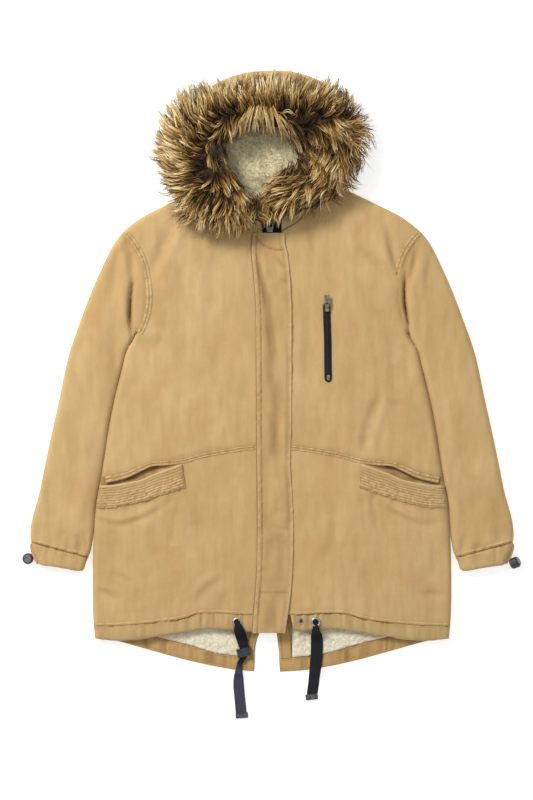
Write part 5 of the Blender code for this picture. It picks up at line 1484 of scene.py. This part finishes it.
def stitchRuns(name, rows):
    # each row: a line, the cloth under it and how far the thread stands above that
    paths = []
    for line, top, lift in rows:
        whole = lineLength(line)
        starts = np.arange(0.6, whole - stitch["long"], stitch["pitch"])
        shares = (starts[:, None] + evenly(5)[None] * stitch["long"]) / whole
        spots = atShares(line, shares.ravel())
        high = top(spots[:, 0], spots[:, 1]) + lift
        path = np.concatenate([spots, high[:, None]], axis=1).reshape(len(starts), 5, 3)
        path[..., 2] += np.array(stitch["arc"])
        paths.append(path)
    paths = np.concatenate(paths)
    wide = np.broadcast_to(np.array((0.5, 1.0, 1.0, 0.9, 0.0)) * stitch["wide"], paths.shape[:2])
    piece = strandMesh(name, paths, wide, {}, 4)
    finishPiece(piece, thread, "coat")


def clipLine(rows, low, high, side):
    line = softLine(rows)
    return mirrored(line[(line[:, 0] >= low) & (line[:, 0] <= high)], side)


def roofHigh(x, y):
    return bodyTop(x, y) + clothLie(x, y, bodyBorders)[0] * mouthSink(x, y)


def bodySeams():
    for word, side in sides.items():
        # felled waist seam: its allowance is stitched down and roofs the pocket's mouth
        start = 31.0 if side < 0 else 33.0
        waist = clipLine(cut["waist"], start, 303.0, side)
        seamStrip(f"waist_seam_{word}", waist, side, (0.0, -9.6), 2, 1.2, roofHigh, 201 + side, wider=True)
        hem = clipLine(cut["hemSeam"], start, 317.0, side)
        seamStrip(f"hem_seam_{word}", hem, side, (0.9, 6.2), 1, 0.7, bodyTop, 211 + side, 0.04, True)
        # a dark strip of painted shade where the skirt puffs over the hem band
        seamStrip(f"hem_shade_line_{word}", hem, side, (-1.6, 1.2), 1, 0.3, bodyTop, 213 + side, 1.05, True)
        # on the left the seam's lower half runs into a fold
        arm = mirrored(armholeLine(90)[2:(40 if side > 0 else -2)], side)
        seamStrip(f"armhole_seam_{word}", arm, side, (-0.6, -12.5), 2, 1.0, bodyTop, 221 + side, 0.7)

        def cuffHeight(x, y, side=side):
            return sleeveTop(x, y, side)
        cuffSeam = np.array([cut["cuffSeamIn"], (435.0, -172.0)], float)
        cuffSeam = mirrored(atShares(cuffSeam, np.linspace(0.02, 0.97, 60)), side)
        seamStrip(f"cuff_seam_{word}", cuffSeam, side, (1.0, 5.8), 1, 1.2, cuffHeight, 231 + side, 0.04, True)
        # a dark strip of painted shade where the sleeve puffs over the cuff
        seamStrip(f"cuff_shade_line_{word}", cuffSeam, side, (-1.0, 1.3), 1, 0.3, cuffHeight, 233 + side, 0.9, True)
        rows = [(besideLine(waist, -side * 4.8 * seamWide(waist)), roofHigh, 0.25),
                (besideLine(waist, -side * 9.1 * seamWide(waist)), roofHigh, 0.2),
                (besideLine(arm, -6.3 * side), bodyTop, 0.3), (besideLine(arm, -12.2 * side), bodyTop, 0.2),
                (besideLine(hem, side * 7.4), bodyTop, 0.1)]
        stitchRuns(f"body_stitches_{word}", rows)


flap = {
    "edges": ((-336, -36.5, 24.0), (-294, -33.8, 30.2), (-262, -31.0, 34.2), (-223, -28.3, 37.3),
              (-148, -27.0, 39.0), (-92, -27.5, 37.3), (-34, -28.0, 33.0), (29, -28.8, 35.3),
              (140, -29.0, 36.0), (257, -30.6, 35.5), (308, -34.0, 32.5), (343, -38.0, 29.0),
              (362, -38.0, 24.0), (383, -36.0, 22.7)),
    "lift": 3.5, "wall": 2.6, "edgeRound": 2.4, "ridge": 9.6, "inner": 8.0, "gain": 1.6,
    "neckSeam": ((-34, 384), (-25, 371), (-14, 361), (2, 354), (14, 353), (26, 355.5)),
    "lowSeam": ((-22, -262), (4, -263.5), (30, -262)),
    "folds": [
        (8.0, -1.5, -25, 332, -13, 290, -5, 240, -3, 180, 0, 112),
        (7.0, -1.0, -4, 130, 6, 90, 8, 30, 2, -20), (4.5, -1.7, -27, 352, -22, 320, -14, 280, -8, 246),
        (6, 1.2, -18, 345, -12, 310, -3, 270), (3.5, -1.2, 10, 338, 18, 326, 27, 318),
        (3.5, 0.9, 8, 322, 18, 312, 29, 306), (3.5, -0.9, 14, 300, 24, 296, 32, 290),
        (8, -0.8, -8, 230, 2, 180, 0, 120), (8, 0.8, 14, 200, 20, 150, 18, 100),
        (8, -0.8, -6, 60, 6, 20, 4, -30), (8, 0.8, 12, -60, 18, -110, 14, -160),
        (7, -0.8, -10, -120, -6, -170, -8, -230), (3.5, -0.8, 2, -112, 16, -118, 30, -121),
        (3.5, -0.7, -2, -140, 14, -147, 30, -150), (7, -1.0, -14, -275, 0, -300, 4, -330),
        (6, 0.8, 10, -270, 18, -300, 16, -332),
    ],
}


def flapAway(x, y):
    # distance from the flap's sewn edge and from its free edge
    rows = np.array(flap["edges"], float)
    return x - np.interp(y, rows[:, 0], rows[:, 1]), np.interp(y, rows[:, 0], rows[:, 2]) - x


def flapTop(x, y):
    rise, crown = clothLie(x, y, bodyBorders)
    fromSeam, fromFree = flapAway(x, y)
    ridge = np.exp(-((fromSeam - flap["ridge"] / 2) / 3.6) ** 4)
    ripple = softNoise(x, y, 6.0, 2.5, 301)
    high = 0.9 * ridge * (0.7 + 1.0 * ripple) - 0.55 * bell(fromSeam - flap["ridge"], 1.5)
    high -= 0.45 * bell(fromFree - flap["inner"], 1.8)
    high -= 0.9 * bell(nearLine(x, y, softLine(flap["neckSeam"]))[0], 1.6)
    high -= 0.4 * bell(nearLine(x, y, softLine(flap["lowSeam"]))[0], 1.4)
    wave = foldField(x, y, flap["folds"]) + 0.8 * softNoise(x, y, 16.0, 42.0, 303)
    wave += 0.35 * softNoise(x, y, 9.0, 14.0, 305)
    wave += 1.0 * softNoise(x, y, 50.0, 5.2, 307) * np.exp(-fromFree / 5.0)
    wave = wave * flap["gain"]
    past = unit(np.minimum(fromFree, fromSeam * 1.2) / flap["edgeRound"])
    turn = flap["edgeRound"] * (1.0 - np.sqrt(unit(1.0 - (1.0 - past) ** 2)))
    return cut["seamHeight"] + 0.3 + cut["round"] * rise + crown + flap["lift"] + wave * 0.8 + high - turn


def stormFlap():
    rows = np.array(flap["edges"], float)
    left = softLine([(r[1], r[0]) for r in rows])
    right = softLine([(r[2], r[0]) for r in rows])
    near = np.array((0.0, 0.15, 0.5, 1.0, 1.7, 2.6)) / 66.0
    shares = np.concatenate([near, np.linspace(0.055, 0.945, 31), (1.0 - near)[::-1]])
    plan = coonsGrid(np.array([left[0], right[0]]), np.array([left[-1], right[-1]]), left, right, shares,
                     evenly(236))
    x, y = plan[..., 0], plan[..., 1]
    fromSeam, fromFree = flapAway(x, y)
    neckLine, lowLine = softLine(flap["neckSeam"]), softLine(flap["lowSeam"])
    ripple = softNoise(x, y, 6.0, 2.5, 301)
    seam = 0.10 + 0.9 * bell(fromSeam, 1.4) + (0.65 + 0.5 * ripple) * bell(fromSeam - flap["ridge"], 1.1)
    seam += 0.22 * bell(fromFree - flap["inner"], 2.6) * (0.6 + 0.6 * softNoise(x, y, 8.0, 26.0, 309))
    seam += 0.6 * bell(nearLine(x, y, neckLine)[0], 1.5) + 0.35 * bell(nearLine(x, y, lowLine)[0], 1.2)
    ridge = np.exp(-((fromSeam - flap["ridge"] / 2) / 3.2) ** 4)
    # paler along the free edge; the ridge's ripple tops get painted highlights
    wear = 1.0 * bell(fromFree - 1.4, 2.0) + unit(0.45 * ripple + 0.12) * ridge
    wear += 0.5 * bell(y - 381.0, 2.0)
    tone = foldField(x, y, flap["folds"]) + 0.5 * softNoise(x, y, 14.0, 38.0, 303)
    tone += 1.4 * softNoise(x, y, 50.0, 5.2, 307) * np.exp(-fromFree / 5.0)
    # painted shade in the fold troughs and painted highlights on the fold tops
    seam += unit(-tone / 1.7) * 0.40
    wear += unit(tone / 1.6) * 0.30
    trimSheet("flap_cloth", raised(plan, flapTop), flap["wall"], cotton, stands=("storm_flap",),
              seam=unit(seam), wear=unit(wear))
    row = softLine([(r[1] + flap["ridge"], r[0]) for r in rows[1:]])
    stitchRuns("flap_stitches", [(row, flapTop, 0.2), (lowLine, flapTop, 0.15),
                                 (besideLine(neckLine, -3.0)[4:], flapTop, 0.1)])


welt["top"] = welt["top"] + ((314.0, -71.0),)
welt["bottom"] = welt["bottom"] + ((317.0, -113.5),)
welt.update({"lift": 3.6, "deep": 43.0, "rows": 8, "plain": 5.0, "wall": 2.2, "edgeRound": 1.6, "step": 1.8,
             "insideWall": 0.8})


def weltPlan(side):
    high, low = softLine(welt["top"]), softLine(welt["bottom"])
    near = np.array((0.0, 0.2, 0.6, 1.2)) / 44.0
    down = np.concatenate([1.0 - near, np.linspace(0.96, 0.03, 54)])
    count = int(lineLength(high) / welt["step"])
    plan = coonsGrid(low, high, np.array([low[0], high[0]]), np.array([low[-1], high[-1]]), evenly(count),
                     down[::-1])
    return mirrored(plan, side), np.broadcast_to((1.0 - down[::-1])[:, None], plan.shape[:2])


def weltHigh(x, y):
    return onCoat(x, y, welt["lift"] + 0.1 + 0.5 * rumple(x, y, 11))


def pocketWelts():
    for word, side in sides.items():
        plan, down = weltPlan(side)
        x, y = plan[..., 0], plan[..., 1]
        away = np.abs(x)
        deep = down * welt["deep"]
        pitch = (welt["deep"] - welt["plain"]) / welt["rows"]
        below = deep - welt["plain"] + 0.6 * softNoise(away, y, 9.0, 30.0, 321)
        ribs = np.abs(np.sin(np.pi * below / pitch)) ** 0.65
        ribs = np.where(deep < welt["plain"], 1.0, ribs)
        ripple = softNoise(away, deep, 2.5, pitch * 0.9, 323 + side)
        ripple = ripple + 0.6 * softNoise(away - deep * 0.7, deep, 5.0, 4.0, 325 + side)
        gather = np.clip((deep - 3.0) / 22.0, 0.15, 1.0)
        high = welt["lift"] + 1.15 * ribs * (0.7 + 0.95 * ripple * gather) + 1.3 * bell(deep, 6.0)
        turn = welt["edgeRound"] * unit(1.0 - deep / welt["edgeRound"]) ** 2
        inner = unit((away - away[:, :1]) / 4.5)
        turn = turn + 4.1 * (1.0 - np.minimum(unit((welt["deep"] - deep) / 5.5), inner)) ** 2
        z = onCoat(x, y, 0.5 * rumple(x, y, 11) + high - turn)
        # darker between the ribs, partly stitching and partly painted shade; painted highlights on the rib
        # tops, and a paler worn top edge
        seam = unit((1.0 - ribs) * (0.85 + 0.5 * ripple) - 0.2 * ripple * gather)
        wear = unit(ribs * gather * (0.2 + 1.0 * ripple)) + 0.75 * bell(deep - 1.2, 1.8)
        ends = bell(away - plan[:, :1, 0] * side, 1.2)
        seam = unit(seam + 0.08 * ends)
        trimSheet(f"welt_{word}", raised(plan, z), welt["wall"], cotton, stands=(f"pocket_welt_{word}",),
                  seam=seam, wear=unit(wear))
        low, high = softLine(welt["bottom"]), softLine(welt["top"])
        rows = []
        span = np.linspace(0.015, 0.985, 90)
        for k in range(welt["rows"] + 1):
            share = min((welt["plain"] + k * pitch) / welt["deep"], 0.975)
            line = atShares(high, span) * (1 - share) + atShares(low, span) * share
            rows.append((mirrored(line, side), weltHigh, 0.35))
        for k in range(3):  # the bar tack at the inner end
            end = np.array([high[0] * (1 - 0.02) + low[0] * 0.02, low[0]]) + np.array((1.2 + k * 0.7, 0.0))
            rows.append((mirrored(atShares(end, evenly(20)), side), weltHigh, 0.45))
        stitchRuns(f"welt_stitches_{word}", rows)


def pocketInside(word, side):
    # the facing seen in the pocket's mouth, darkened as painted shade, most along its top under the seam
    x = np.arange(172.0, 309.0, 1.5)
    share = evenly(18)
    y = lineY(welt["top"], x)[None] - 3.0 + (mouthGap(x) + 3.0)[None] * share[:, None]
    plan = joined(np.broadcast_to(x, y.shape) * side, y)
    rise = clothLie(plan[..., 0], y, bodyBorders)[0]
    z = bodyTop(plan[..., 0], y) + 0.22 * rise * mouthSink(plan[..., 0], y) + 0.1
    full = np.clip(np.minimum((x - 198.0) / 12.0, (270.0 - x) / 14.0), 0.12, 1.0)[None]
    toTop = np.maximum((1.0 - share)[:, None] * mouthGap(x)[None] - 9.6 * seamWide(x[:, None]).T, 0.0)
    seam = full * (0.52 + 0.14 * softNoise(plan[..., 0], y, 9.0, 7.0, 331) + 0.5 * bell(toTop, 2.4)
                   + 0.25 * bell(x[None] - 258.0, 12.0) * (1.0 - share[:, None]))
    seam += 0.40 * bell(toTop, 1.8) * unit((x - 176.0) / 20.0)[None]
    trimSheet(f"pocket_inside_{word}", raised(plan, z), welt["insideWall"], cotton, seam=unit(seam), wear=0.0)


tail = {"floor": 3.4, "band": 2.8, "facing": 3.4, "pile": 5.2, "facingWide": {-1: 14.0, 1: 22.0},
        "far": 306.0,
        "pileTop": -322.0, "clothWall": 2.0, "pileWall": 3.0}


def tailWave(x, y, seed):
    return 0.35 * softNoise(x, y, 14.0, 14.0, seed)


def ventX(side, y):
    line = softLine(cut["vent"][side])[::-1]
    return np.interp(y, line[:, 1], line[:, 0])


def tailInside():
    for word, side in sides.items():
        wide = tail["facingWide"][side]
        start = float(ventX(side, -400.0)) + 1.4
        x = start + (tail["far"] - start) * evenly(150)
        low = lineY(cut["tailEdge"], x) + 0.9 + 0.8 * softNoise(x, 0.0 * x, 8.0, 1.0, 346)
        high = lineY(cut["tailBandTop"], x)
        down = np.concatenate([(0.0, 0.03, 0.08), np.linspace(0.14, 0.92, 16), (0.97, 1.0)])
        y = low[None] + (high - low)[None] * down[:, None]
        plan = joined(np.broadcast_to(x, y.shape) * side, y)
        edge = np.minimum(np.minimum(y - low[None], high[None] - y), 2.0) / 2.0
        foot = tail["floor"] + tail["band"] - 1.4 * (1.0 - edge) ** 2
        grooves = 0.5 * bell(high[None] - y - 3.0, 0.9) + 0.35 * bell(y - low[None] - 4.5, 1.0)
        puck = 0.4 * softNoise(plan[..., 0], y, 3.2, 12.0, 341) * bell(high[None] - y - 3.0, 4.0)
        gather = (0.85 * softNoise(plan[..., 0], y, 4.4, 60.0, 347)
                  + 0.6 * softNoise(plan[..., 0], y, 13.0, 60.0, 348)) * edge
        z = foot - grooves + puck + gather + tailWave(plan[..., 0], y, 343)
        # darker along the stitch grooves; painted shade in the gather troughs and painted highlights on the
        # pucker and gather tops
        seam = 0.6 * bell(high[None] - y - 3.0, 0.9) + 0.3 * bell(y - low[None] - 4.5, 1.2)
        seam = np.maximum(seam, unit(-gather) * 0.5)
        wear = 0.6 * bell(y - low[None], 2.0) + np.clip(puck * 1.4 + gather * 0.5, 0.0, 0.6)
        trimSheet(f"tail_hem_{word}", raised(plan, z), tail["clothWall"], cottonShaded,
                  stands=(f"tail_band_{word}",),
                  seam=seam, wear=unit(wear))
        bandLow = levelAt(tail["floor"] + tail["band"])
        stitchRuns(f"tail_stitches_{word}", [(mirrored(joined(x[3:], high[3:] - 3.0), side), bandLow, -0.1),
                                             (mirrored(joined(x[3:], low[3:] + 4.5), side), bandLow, -0.05)])
        # facing beside the vent
        footY = float(lineY(cut["tailBandTop"], float(ventX(side, -380.0)) + wide)) - 1.0
        rows = np.linspace(tail["pileTop"], footY, 44)
        across = np.concatenate([(0.0, 0.3, 0.9), np.linspace(2.0, wide - 2.0, 18), (wide - 0.8, wide)])
        px = ventX(side, rows)[:, None] + 1.2 + across[None]
        plan = joined(px * side, np.broadcast_to(rows[:, None], px.shape))
        edge = np.minimum(np.minimum(across, wide - across), 2.0) / 2.0
        groove = bell(across - 5.0, 0.9)
        z = tail["floor"] + tail["facing"] - 1.5 * (1.0 - edge[None]) ** 2 - 0.5 * groove[None]
        z = z + tailWave(plan[..., 0], plan[..., 1], 345)
        trimSheet(f"vent_cloth_{word}", raised(plan, z), tail["clothWall"], cottonShaded,
                  stands=(f"vent_facing_{word}",), seam=0.55 * groove[None],
                  wear=0.7 * bell(across, 1.6)[None])
        facingHigh = levelAt(tail["floor"] + tail["facing"])
        line = joined((ventX(side, rows) + 6.2) * side, rows)
        cross = joined(np.linspace(px[-1, 0] + 1.0, px[-1, -1] - 1.0, 20) * side, np.full(20, footY + 4.0))
        stitchRuns(f"vent_stitches_{word}", [(line, facingHigh, -0.15), (cross, facingHigh, 0.0)])
        # pile lining between the facing and the side
        start = float(ventX(side, -387.0)) + wide + 1.6
        x = np.linspace(start, tail["far"] - 4.0, int((tail["far"] - start) / 1.9))
        low = lineY(cut["tailBandTop"], x) + 0.6
        down = evenly(32)
        y = low[None] + (tail["pileTop"] - low)[None] * down[:, None]
        plan = joined(np.broadcast_to(x, y.shape) * side, y)
        edge = unit(np.minimum(np.minimum(y - low[None], (x - start)[None]), 3.0) / 3.0)
        z = tail["floor"] + tail["pile"] - 2.4 * (1.0 - edge) ** 2
        z = z + 0.75 * pileLumps(plan[..., 0], plan[..., 1], 351)
        # painted shade on the pile just under the hem
        underHemShade = np.clip((y + 340.0) / 10.0, 0.0, 0.08)
        trimSheet(f"tail_pile_{word}", raised(plan, z), tail["pileWall"], creamPile, "pile",
                  (f"tail_lining_{word}",), deep=underHemShade)


bodySeams()
stormFlap()
pocketWelts()
for word, side in sides.items():
    pocketInside(word, side)
tailInside()
print("flap, welts, seams and tail ready")


# ---- zips, metal and plastic parts, hem tapes
def dressNode(paint, *names):
    for name in names:
        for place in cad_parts[name].material_slots:
            place.material = paint


def turnedPiece(name, spot, rows, paint, stands=(), turns=40):
    # rows of radius and height, turned about an upright axis
    rows = np.array(rows, float)
    angle = np.linspace(0.0, 2.0 * np.pi, turns + 1)[:, None]
    spots = joined(spot[0] + rows[None, :, 0] * np.cos(angle), spot[1] + rows[None, :, 0] * np.sin(angle),
                      np.broadcast_to(spot[2] + rows[None, :, 1], (turns + 1, len(rows))))
    piece = sheetMesh(name, spots, wrap=True)
    startEdit(piece)
    bpy.ops.mesh.normals_make_consistent(inside=False)
    endEdit()
    smoothAll(piece, 45.0)
    finishPiece(piece, paint, "coat", stands)


def zipTeeth(name, line, half, pitch, top, thick):
    # one small strand across the tape for each tooth
    count = int(lineLength(line) / pitch)
    middle = atShares(line, (np.arange(count) + 0.5) / count)
    run = np.gradient(middle, axis=0)
    run /= np.linalg.norm(run, axis=1, keepdims=True)
    across = joined(-run[:, 1], run[:, 0]) * np.where(np.arange(count) % 2 == 0, 1.0, -1.0)[:, None]
    offs = np.array((1.0, 0.8, 0.25, -0.35, -0.7)) * half
    plan = middle[:, None] + across[:, None] * offs[None, :, None]
    high = top(plan[..., 0], plan[..., 1]) + np.array((0.0, 0.75, 0.95, 0.8, 0.1))[None] * thick
    wide = np.broadcast_to(np.array((0.8, 1.0, 1.0, 0.8, 0.0)) * thick, plan.shape[:2])
    piece = strandMesh(name, raised(plan, high), wide, {}, 4)
    finishPiece(piece, blackPlastic, "coat")


def zipTape(name, line, half, roundEnd, top, wall, stands):
    length = lineLength(line)
    line = atShares(line, evenly(int(length / (1.6 if roundEnd else 7.0)) + 1))
    at = np.linspace(0.0, length, len(line))
    width = np.full(len(line), half)
    if roundEnd:
        past = np.clip(np.minimum(at, length - at) / roundEnd, 0.04, 1.0)
        width = half * np.sqrt(unit(1.0 - (1.0 - past) ** 2))
    offs = np.linspace(-1.0, 1.0, 17)
    plan = np.stack([besideLine(line, off * width[:, None]) for off in offs], axis=1)
    away = np.abs(offs)[None]
    high = top(plan[..., 0], plan[..., 1]) + 0.35 * bell(away - 0.42, 0.10) - 0.5 * unit(away - 0.86) / 0.14
    trimSheet(name, raised(plan, high), wall, blackTape, "tape", stands, deep=0.0)


zips = {
    "main": {"line": ((-0.2, -287), (-0.2, 425)), "half": 16.6, "high": 21.9, "wall": 1.4, "teeth": 2.2,
             "thick": 1.3, "pitch": 2.1},
    "chest": {"line": ((98.2, 258), (98.8, 226), (100.2, 190), (100.4, 152), (101.2, 115)), "half": 6.7,
              "lift": 1.5, "wall": 1.3,
              "teeth": 1.9, "thick": 1.0, "pitch": 1.5, "from": 0.10, "to": 0.93, "stitchAway": 9.4},
}


def makeZips():
    long, short = zips["main"], zips["chest"]
    line, mainHigh = np.array(long["line"], float), levelAt(long["high"])
    zipTape("main_tape", line, long["half"], 0.0, mainHigh, long["wall"], ("main_zip_tape",))
    zipTeeth("main_teeth", line, long["teeth"], long["pitch"], mainHigh, long["thick"])

    def chestHigh(x, y):
        return bodyTop(x, y) + short["lift"]
    line = softLine(short["line"], 2.0)
    zipTape("chest_tape", line, short["half"], short["half"], chestHigh, short["wall"], ("chest_zip_tape",))
    toothed = atShares(line, np.linspace(short["from"], short["to"], 80))
    zipTeeth("chest_teeth", toothed, short["teeth"], short["pitch"], chestHigh, short["thick"])
    away = short["stitchAway"]
    ends = [np.array([besideLine(line, s * away)[k] for s in (-1.0, 1.0)]) for k in (1, -2)]
    stitchRuns("chest_zip_stitches",
               [(besideLine(line, away), bodyTop, 0.1), (besideLine(line, -away), bodyTop, 0.1)]
               + [(atShares(end, evenly(12)), bodyTop, 0.1) for end in ends])


metal = {
    "eyelets": {-1: (-62.6, -316.8), 1: (78.5, -316.3)}, "stud": (52.2, -314.3),
    "rim": ((5.0, -1.2), (5.0, 0.8), (5.5, 1.9), (6.6, 2.5), (7.9, 2.2), (8.8, 1.2), (9.0, 0.2), (8.8, -1.0),
            (5.0, -1.2)),
    "hole": ((0.0, 0.15), (5.2, 0.15), (5.2, -1.2), (0.0, -1.2)),
    "studRim": ((0.0, -1.0), (5.4, -1.0), (5.6, 0.6), (5.3, 1.7), (4.5, 2.3), (3.7, 2.1), (3.3, 1.3),
                (2.6, 0.6), (0.0, 0.5)),
    "studHoleShade": ((0.0, 0.2), (3.1, 0.2), (3.0, 1.1), (1.6, 1.7), (0.0, 1.9)),
}


def onBand(x, y):
    return float(bandTop(np.array([x]), np.array([y]))[0])


def metalParts():
    for word, side in sides.items():
        x, y = metal["eyelets"][side]
        base = onBand(x, y) + 0.5
        turnedPiece(f"eyelet_{word}", (x, y, base), metal["rim"], nickel,
                    (f"hem_eyelet_{word}",))
        turnedPiece(f"eyelet_hole_{word}", (x, y, base + 0.3), metal["hole"], blackTape)
    x, y = metal["stud"]
    base = onBand(x, y) + 0.4
    turnedPiece("hem_stud", (x, y, base), metal["studRim"], nickel, ("hem_snap_stud",))
    # a black dome put in the stud's hole as painted shade
    turnedPiece("hem_stud_hole_shade", (x, y, base), metal["studHoleShade"], blackPlastic)
    dressNode(gunmetal, "main_zip_slider", "main_zip_pull", "chest_zip_slider", "chest_zip_pull",
              "chest_zip_stop")
    dressNode(clipMetal, "tape_clip_left", "tape_clip_right")
    dressNode(slidePlastic, "tape_slide_right")
    dressNode(blackPlastic, "cuff_lock_left", "cuff_lock_right")
    dressNode(greyPlastic, "cuff_button_left", "cuff_button_right")


hemTape = {  # x, y, underside and width down each tape
    -1: ((-62.6, -314.5, 25.6, 8), (-62, -318.5, 26.5, 9.5), (-61.3, -321.6, 28.3, 12.5),
         (-60, -327.5, 27.8, 17), (-57.8, -334.8, 23.4, 19.5), (-56, -341.5, 16, 20), (-54, -349, 12.2, 19.5),
         (-51, -362, 11.8, 17), (-50.6, -372, 11.8, 12), (-53, -383.5, 11.2, 10), (-57.5, -392, 8.2, 10),
         (-59, -402, 7.4, 12), (-60, -411, 6, 15), (-60.4, -420, 1.6, 18), (-60.3, -432, 0.6, 19.6),
         (-58.6, -452, 0.6, 19.6), (-56, -480.5, 1.1, 19.6), (-55.8, -483.5, 1.2, 19.4)),
    1: ((78.5, -314, 25.6, 7), (78.3, -318, 26.5, 8.5), (78.4, -321.2, 28.3, 10), (78.8, -327, 27.8, 12),
        (79.2, -334.4, 23.4, 15.5), (80.2, -341.5, 16, 20.5), (81, -350, 10.2, 21.5), (81, -362, 8.9, 21.5),
        (80.2, -382, 8.7, 21.5), (78.5, -400, 7.4, 21), (77.4, -409, 5.8, 20.5), (76.4, -418, 1.6, 20),
        (75.2, -430, 0.8, 19.8), (73, -446, 1.1, 19.6), (72.6, -450, 1.2, 19.4)),
}
tapeWall = 1.7


def hemTapes():
    for word, side in sides.items():
        rows = np.array(hemTape[side], float)
        line = softLine(rows, 1.6)
        plan, high, width = line[:, :2], line[:, 2], line[:, 3]
        offs = np.linspace(-1.0, 1.0, 15)
        spots = np.stack([besideLine(plan, off * width[:, None] / 2.0) for off in offs], axis=1)
        # narrow stretches fold lengthwise and stand up in the middle
        pinch = unit((20.0 - width) / 8.0)[:, None]
        ridge = pinch * (1.6 * bell(offs[None] - 0.25, 0.35) - 0.5)
        ribs = 0.10 * np.cos(offs[None] * 12.0 * np.pi)
        ridge = ridge * (high[:, None] > 2.0)
        z = high[:, None] + tapeWall + ridge + ribs - 0.35 * (np.abs(offs[None]) > 0.95)
        # greyer towards the lower end, strongly on the right tape
        greyerLow = unit((-392.0 - spots[..., 1]) / 12.0) * (1.0 if side < 0 else 0.12)
        piece = trimSheet(f"hem_tape_cloth_{word}", raised(spots, z), tapeWall - 0.1, blackTape, "tape",
                          (f"hem_tape_{word}",), deep=greyerLow)


makeZips()
metalParts()
hemTapes()
print("zips, metal and tapes ready")
